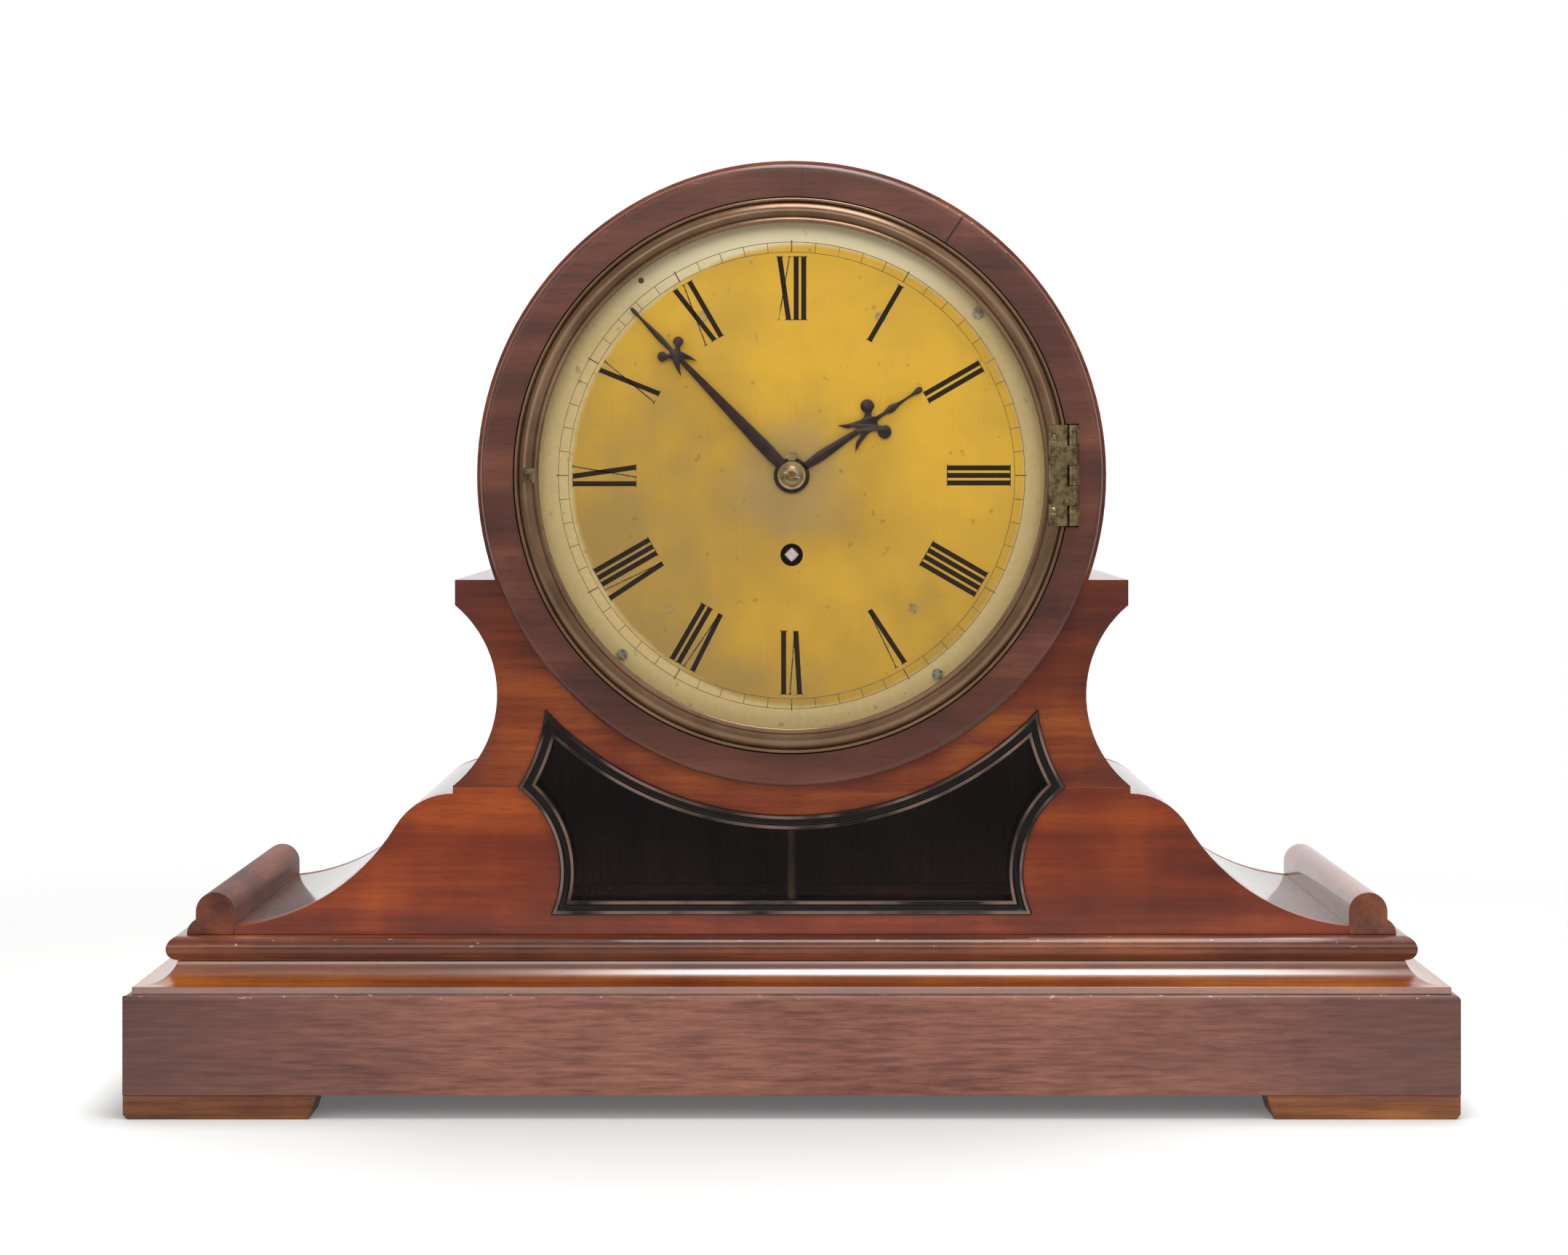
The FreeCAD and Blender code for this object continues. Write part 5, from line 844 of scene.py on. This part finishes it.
plugs = [plug(x * MM, z * MM) for x, z in FOOT_PLACES]
plug_metal = aged_metal("plug brass", (168, 134, 66), (206, 176, 108), 0.36, 0.6, 0.003)
finished(join(plugs, "dial_foot_ends"), plug_metal, "dial_brass", "case")
print("plugs", len(FOOT_PLACES))

# %% [markdown]
# ## The hands
# The hands are pierced and scrolled steel. Half of each outline is drawn, with smooth handles, and
# mirrored. A filled curve with a little thickness and a fine bevel gives a flat hand with soft edges.

# %% Outlines of the hands
# Half-width and radius of each knot, in millimetres. A third value marks a corner.
MINUTE_HALF = (
    (2.35, 5.0, 1), (2.8, 13.0), (2.5, 31.0), (1.75, 52.0), (1.3, 66.0), (1.0, 72.6, 1),
    (2.3, 71.7), (4.9, 68.2, 1), (4.3, 71.4), (3.3, 74.6), (2.7, 76.6), (3.6, 77.9, 1),
    (4.6, 78.1), (6.6, 78.7), (7.2, 80.4), (6.3, 82.1), (4.6, 82.5), (3.2, 81.6), (2.8, 80.2),
    (1.9, 78.9), (0.8, 79.6, 1), (1.25, 87.0), (0.9, 94.0), (0.55, 101.0), (0.85, 104.4),
    (0.6, 106.1, 1),
)
HOUR_HALF = (
    (1.6, 6.0, 1), (1.75, 9.5), (2.2, 15.0), (2.1, 20.0), (1.75, 26.0), (1.3, 33.5), (1.15, 37.6, 1),
    (2.7, 36.0), (3.8, 33.4), (7.1, 30.6, 1), (5.2, 34.6), (4.1, 38.0), (3.5, 41.4), (4.9, 44.3, 1),
    (6.0, 43.8), (7.8, 43.7), (9.7, 44.9), (10.1, 47.0), (8.9, 49.0), (7.0, 49.6), (5.2, 49.0),
    (4.2, 47.2), (2.5, 45.7), (0.95, 46.9, 1), (0.75, 51.2), (1.65, 55.2), (0.75, 59.2),
    (0.7, 67.6), (1.25, 69.6), (1.1, 71.2),
)
MINUTE_TIP, HOUR_TIP = (0.0, 106.3), (0.0, 71.9)
MINUTE_ANGLE, HOUR_ANGLE = 316.15, 56.2
HAND_BEVEL, BOSS_EDGE = 0.12 * MM, 0.2 * MM


def hand_outline(name, half, tip, thickness):
    mirrored = [(-knot[0],) + knot[1:] for knot in reversed(half)]
    knots = list(half) + [tip] + mirrored
    clear_selection()
    bpy.ops.curve.primitive_bezier_circle_add()
    piece = bpy.context.object
    piece.name = name
    piece.data.dimensions = "2D"
    piece.data.fill_mode = "BOTH"
    piece.data.splines.clear()
    spline = piece.data.splines.new("BEZIER")
    spline.bezier_points.add(len(knots) - 1)
    for point, knot in zip(spline.bezier_points, knots):
        point.co = (knot[0] * MM, knot[1] * MM, 0)
        kind = "VECTOR" if len(knot) == 3 else "AUTO"
        point.handle_left_type = point.handle_right_type = kind
    spline.use_cyclic_u = True
    piece.data.resolution_u = 6
    piece.data.extrude = thickness / 2 - HAND_BEVEL
    piece.data.bevel_depth = HAND_BEVEL
    piece.data.bevel_resolution = 1
    choose(piece)
    bpy.ops.object.convert(target="MESH")
    return bpy.context.object


def set_hand(piece, angle, depth):
    """Stands a flat hand up, turns it clockwise and sets it in front of the dial."""
    upright = Matrix.Rotation(math.radians(90), 4, "X")
    turn = Matrix.Rotation(math.radians(angle), 4, "Y")
    piece.data.transform(Matrix.Translation((DIAL_X, depth, DIAL_Z)) @ turn @ upright)
    piece.matrix_world = Matrix.Identity(4)
    merge_skin(piece)


def hand_with_boss(name, node, half, tip, angle, inner, outer, body):
    front, back = low(node)[1], high(node)[1]
    blade = hand_outline(name, half, tip, back - front)
    set_hand(blade, angle, (front + back) / 2)
    boss = lathe(name + "_boss", [
        (inner, back), (inner, front), (outer - BOSS_EDGE, front), (outer, front + BOSS_EDGE),
        (outer, back - BOSS_EDGE), (outer - BOSS_EDGE, back)], 64)
    return finished(join([blade, boss], name), hand_metal, "dark_steel", body, node)


hour_hand = hand_with_boss("hour_hand_scrolled", "hour_hand", HOUR_HALF, HOUR_TIP, HOUR_ANGLE,
                           4.0 * MM, 8.2 * MM, "hour")
minute_hand = hand_with_boss("minute_hand_scrolled", "minute_hand", MINUTE_HALF, MINUTE_TIP,
                             MINUTE_ANGLE, 2.7 * MM, 7.0 * MM, "minute")
print("hands", len(hour_hand.data.polygons), len(minute_hand.data.polygons), "faces")

# %% [markdown]
# A brass collet covers the middle of the hands. It is a low dome with a small step at its edge, and the
# taper pin of the CAD model holds it.

# %% Collet
COLLET_BACK, COLLET_FRONT = high("hand_collet")[1], low("hand_collet")[1]
COLLET_HOLE, COLLET_RADIUS, COLLET_STEP, DOME_RADIUS = 1.85 * MM, 6.4 * MM, 0.6 * MM, 5.2 * MM
collet_section = [(COLLET_HOLE, COLLET_BACK), (COLLET_RADIUS, COLLET_BACK),
                  (COLLET_RADIUS, COLLET_BACK - COLLET_STEP)]
rounded(collet_section, (0.6 * MM, COLLET_FRONT + 4.6 * MM), DOME_RADIUS, -26, -62, 8)
collet_section.append((COLLET_HOLE, COLLET_FRONT))
collet = finished(lathe("hand_collet_domed", collet_section, 64), collet_metal, "cast_brass",
                  "minute", "hand_collet")
print("collet", len(collet.data.polygons), "faces")

# %% [markdown]
# Two small things catch the eye near the hands: the bright end of the winding square, deep in its dark
# hole, and a brass lug just above the boss.

# %% Winding square and lug
WINDING_Z = (low("fusee")[2] + high("fusee")[2]) / 2
SQUARE_END = low("fusee")[1]
SQUARE_CORNER = 3.3 * MM
square_end = slab([(DIAL_X, WINDING_Z - SQUARE_CORNER), (DIAL_X + SQUARE_CORNER, WINDING_Z),
                   (DIAL_X, WINDING_Z + SQUARE_CORNER), (DIAL_X - SQUARE_CORNER, WINDING_Z)],
                  SQUARE_END - 0.3 * MM, SQUARE_END + 0.2 * MM)
square_end.name = "winding_square_end"
add_modifier(square_end, "BEVEL", width=0.15 * MM, segments=1)
finished(square_end, square_steel, "steel", body_of["fusee"])
LUG_FOOT, LUG_LOW, LUG_HIGH = DIAL_Z + 6.2 * MM, DIAL_Z + 7.7 * MM, DIAL_Z + 10.4 * MM
LUG_FRONT = low("minute_hand")[1] + 0.1 * MM


def tapered(bottom_half, bottom, top_half, top, front, back):
    """A slab that stands upright on the dial, with its own half-width at the bottom and at the top."""
    return slab([(-bottom_half, bottom), (bottom_half, bottom), (top_half, top), (-top_half, top)],
                front, back)


lug = tapered(3.2 * MM, LUG_LOW, 2.6 * MM, LUG_HIGH, LUG_FRONT, LUG_FRONT + 0.8 * MM)
lug_foot = tapered(1.6 * MM, LUG_FOOT, 1.6 * MM, LUG_LOW + MM, LUG_FRONT + 0.2 * MM,
                   LUG_FRONT + 0.7 * MM)
finished(join([lug, lug_foot], "boss_lug"), collet_metal, "cast_brass", "minute")
print("square end at", round(WINDING_Z / MM, 1), "mm up")

# %% [markdown]
# ## Small screws
# One slotted screw is modelled and copied to each place: round heads on the leaf of the bezel's hinge,
# flat ones on the hinges of the back door.

# %% Slotted screws


def screw_head(name, place, radius, proud, turn, facing=-1):
    """A domed, slotted head. facing is -1 towards the front and +1 towards the back."""
    x, y, z = place
    section = [(AXIS, y - facing * 0.3 * MM), (radius, y - facing * 0.3 * MM), (radius, y)]
    for share in (0.5, 0.8, 1.0):
        section.append((radius * math.cos(share * math.pi / 2) + AXIS,
                        y + facing * proud * math.sin(share * math.pi / 2)))
    head = lathe(name, section, 24, x, z)
    slot = cutter("slot", (-radius * 1.2, y + facing * proud * 0.45, -radius * 0.13),
                  (radius * 1.2, y + facing * proud * 1.5, radius * 0.13))
    slot.data.transform(Matrix.Translation((x, 0, z)) @ Matrix.Rotation(math.radians(turn), 4, "Y"))
    cut_away(head, slot)
    return head


LEAF_SCREW_X, LEAF_FACE = 119.6 * MM, leaf_low[1]
LEAF_SCREW_PLACES = ((-16.5, 30), (16.5, 75))
leaf_screws = [screw_head("leaf_screw", (LEAF_SCREW_X, LEAF_FACE, DIAL_Z + up * MM), 1.9 * MM,
                          0.9 * MM, turn) for up, turn in LEAF_SCREW_PLACES]
finished(join(leaf_screws, "bezel_leaf_screws"), hinge_metal, "cast_brass", "bezel_door")
LEAF_BACK = CASE_BACK + 1.0 * MM
LEAF_WIDTH, HALF_LEAF, SCREW_ASIDE, SCREW_STEP = 12.0 * MM, 16 * MM, 8 * MM, 10 * MM
PIN_X = low("door_hinge_leaves")[0] + LEAF_WIDTH
HINGE_MIDDLES = (low("door_hinge_fixed")[2] + HALF_LEAF, high("door_hinge_fixed")[2] - HALF_LEAF)
TURNS = ((10, 80), (40, 120))
board_screws, door_screws = [], []
for middle, pair in zip(HINGE_MIDDLES, TURNS):
    for step, turn in zip((-SCREW_STEP, SCREW_STEP), pair):
        board_screws.append(screw_head("board_screw", (PIN_X + SCREW_ASIDE, LEAF_BACK, middle + step),
                                       1.6 * MM, 0.4 * MM, turn, 1))
        door_screws.append(screw_head("door_screw", (PIN_X - SCREW_ASIDE, LEAF_BACK, middle + step),
                                      1.6 * MM, 0.4 * MM, turn + 30, 1))
finished(join(board_screws, "board_hinge_screws"), hinge_metal, "cast_brass", "case")
finished(join(door_screws, "door_hinge_screws"), hinge_metal, "cast_brass", "rear_door")
print("screws", len(leaf_screws) + len(board_screws) + len(door_screws))

# %% [markdown]
# ## Finishes of the other nodes
# Every node that keeps its CAD shape gets the finish of its material.

# %% Finish by slot
BY_SLOT = {
    "mahogany": inside_wood, "dark_mahogany": plinth_wood, "ebonised": black_wood,
    "clear_glass": pane_glass, "dial_brass": dial_metal, "cast_brass": hinge_metal,
    "movement_brass": works_metal, "steel": steel_metal, "dark_steel": hand_metal, "gut": gut_line,
}
# The front plate gets the near-black brass of the painted shade in the winding hole.
BY_NODE = {"dial_screws": screw_metal, "pendulum_rod": rod_metal, "front_plate": hole_shade_brass}
for part in frame["record"]["subparts"]:
    node = part["node"]
    paint_over(frame["nodes"][node], BY_NODE.get(node, BY_SLOT[part["material_slot"]]))

# %% [markdown]
# ## Stage, light and camera
# The floor is a pale round sheet that fades into the white backdrop, and seen from the camera or in a
# reflection it glows a little. Large soft lamps stand in front and at both sides, and one hangs above,
# whose long reflection runs along the mouldings. The room in front of the clock is dim, so the polished
# front and the glass stay deep in colour. Behind it the room is white, as the backdrop is, and the tops
# of the rolls and decks reflect that.

# %% Floor
FLOOR_SIZE, FLOOR_GLOW = 4.0, 0.12
FADE_END, FADE_START = 0.95, 0.42
clear_selection()
bpy.ops.mesh.primitive_plane_add(size=FLOOR_SIZE, location=(0, 0, 0))
floor = bpy.context.object
floor.name = "floor"


def floor_finish():
    finish = Finish("pale floor", Base_Color=paint(222, 222, 221), Roughness=0.7)
    seen = finish.node("ShaderNodeLightPath", {}, {}, "Is Camera Ray")
    for ray in ("Is Glossy Ray", "Is Transmission Ray"):
        seen = finish.node("ShaderNodeLightPath", {}, {}, ray) + seen
    glow = finish.mix(seen, paint(0, 0, 0), paint(255, 255, 255))
    finish.set(Specular_IOR_Level=0.2, Emission_Color=glow, Emission_Strength=FLOOR_GLOW)
    x, y, z = finish.axes(finish.place())
    flat = finish.node("ShaderNodeCombineXYZ", {}, {0: x * 0.8, 1: y})
    away = finish.node("ShaderNodeVectorMath", {"operation": "LENGTH"}, {0: flat}, "Value")
    finish.set(Alpha=finish.step(away, FADE_END, FADE_START))
    return finish


paint_over(floor, floor_finish())
print("floor", FLOOR_SIZE, "m wide")

# %% Sky
ROOM_DIM, ROOM_ABOVE, ROOM_BEHIND = 0.22, 0.35, 0.9
world = bpy.data.worlds.new("studio")
bpy.context.scene.world = world
world.use_nodes = True


def sky_node(kind, settings, values, output=0):
    made = world.node_tree.nodes.new(kind)
    for name, value in settings.items():
        setattr(made, name, value)
    for key, value in values.items():
        if isinstance(value, bpy.types.NodeSocket):
            world.node_tree.links.new(value, made.inputs[key])
        else:
            made.inputs[key].default_value = value
    return made.outputs[output] if output is not None else made


def sky_slope(value, start, end, bottom, top):
    return sky_node("ShaderNodeMapRange", {"interpolation_type": "SMOOTHSTEP"}, {
        "Value": value, "From Min": start, "From Max": end, "To Min": bottom, "To Max": top})


def sky_math(operation, first, second):
    return sky_node("ShaderNodeMath", {"operation": operation}, {0: first, 1: second})


def studio_sky():
    world.node_tree.nodes.clear()
    where = sky_node("ShaderNodeTexCoord", {}, {}, "Generated")
    depth, up = [sky_node("ShaderNodeSeparateXYZ", {}, {0: where}, name) for name in "YZ"]
    behind = sky_slope(depth, -0.1, 0.4, 0.0, ROOM_BEHIND)
    above = sky_slope(up, 0.2, 0.8, ROOM_DIM, ROOM_ABOVE)
    level = sky_math("MAXIMUM", behind, above)
    glossy, through, camera = [sky_node("ShaderNodeLightPath", {}, {}, f"Is {kind} Ray")
                               for kind in ("Glossy", "Transmission", "Camera")]
    mirrored = sky_math("MULTIPLY", sky_math("MAXIMUM", glossy, through), behind)
    ray = sky_math("MAXIMUM", camera, mirrored)
    soft = sky_node("ShaderNodeBackground", {}, {"Color": (1, 1, 1, 1), "Strength": level})
    white = sky_node("ShaderNodeBackground", {}, {"Color": (1, 1, 1, 1), "Strength": 1.0})
    chosen = sky_node("ShaderNodeMixShader", {}, {0: ray, 1: soft, 2: white})
    sky_node("ShaderNodeOutputWorld", {}, {0: chosen}, None)


studio_sky()
print("sky ready")

# %% Lamps


def soft_lamp(name, place, target, width, height, power):
    clear_selection()
    bpy.ops.object.light_add(type="AREA", location=place)
    lamp = bpy.context.object
    lamp.name = name
    lamp.data.shape = "RECTANGLE"
    lamp.data.size = width
    lamp.data.size_y = height
    lamp.data.energy = power
    aim = Vector(target) - Vector(place)
    lamp.rotation_euler = aim.to_track_quat("-Z", "Y").to_euler()
    return lamp


soft_lamp("overhead_box", (0.165, -0.10, 1.55), (0.165, -0.10, 0.0), 0.65, 1.45, 23)
soft_lamp("front_box", (0.0, -2.3, 1.15), (0.0, 0.0, 0.25), 1.6, 0.9, 11)
soft_lamp("left_box", (-1.3, -1.35, 0.75), (0.0, 0.0, 0.22), 1.1, 1.2, 5.5)
soft_lamp("right_box", (1.3, -1.35, 0.85), (0.0, 0.0, 0.22), 1.1, 1.2, 4.5)
print("four soft lamps")

# %% Camera
CAMERA_DISTANCE, CAMERA_HEIGHT = 1.480, 0.291
LENS, SENSOR = 75.07, 36.0
PICTURE_WIDTH, PICTURE_HEIGHT = 2156, 1725
CENTRE_X, CENTRE_Y = 1088.5, 655.0
clear_selection()
bpy.ops.object.camera_add(
    location=(0.0, PLINTH_FRONT - CAMERA_DISTANCE, CAMERA_HEIGHT), rotation=(math.radians(90), 0, 0))
camera = bpy.context.object
camera.data.lens = LENS
camera.data.sensor_width = SENSOR
camera.data.shift_x = (PICTURE_WIDTH / 2 - CENTRE_X) / PICTURE_WIDTH
camera.data.shift_y = (CENTRE_Y - PICTURE_HEIGHT / 2) / PICTURE_WIDTH
bpy.context.scene.camera = camera
bpy.context.scene.view_settings.view_transform = "Standard"
print("camera", round(CAMERA_DISTANCE, 3), "m in front of the plinth")
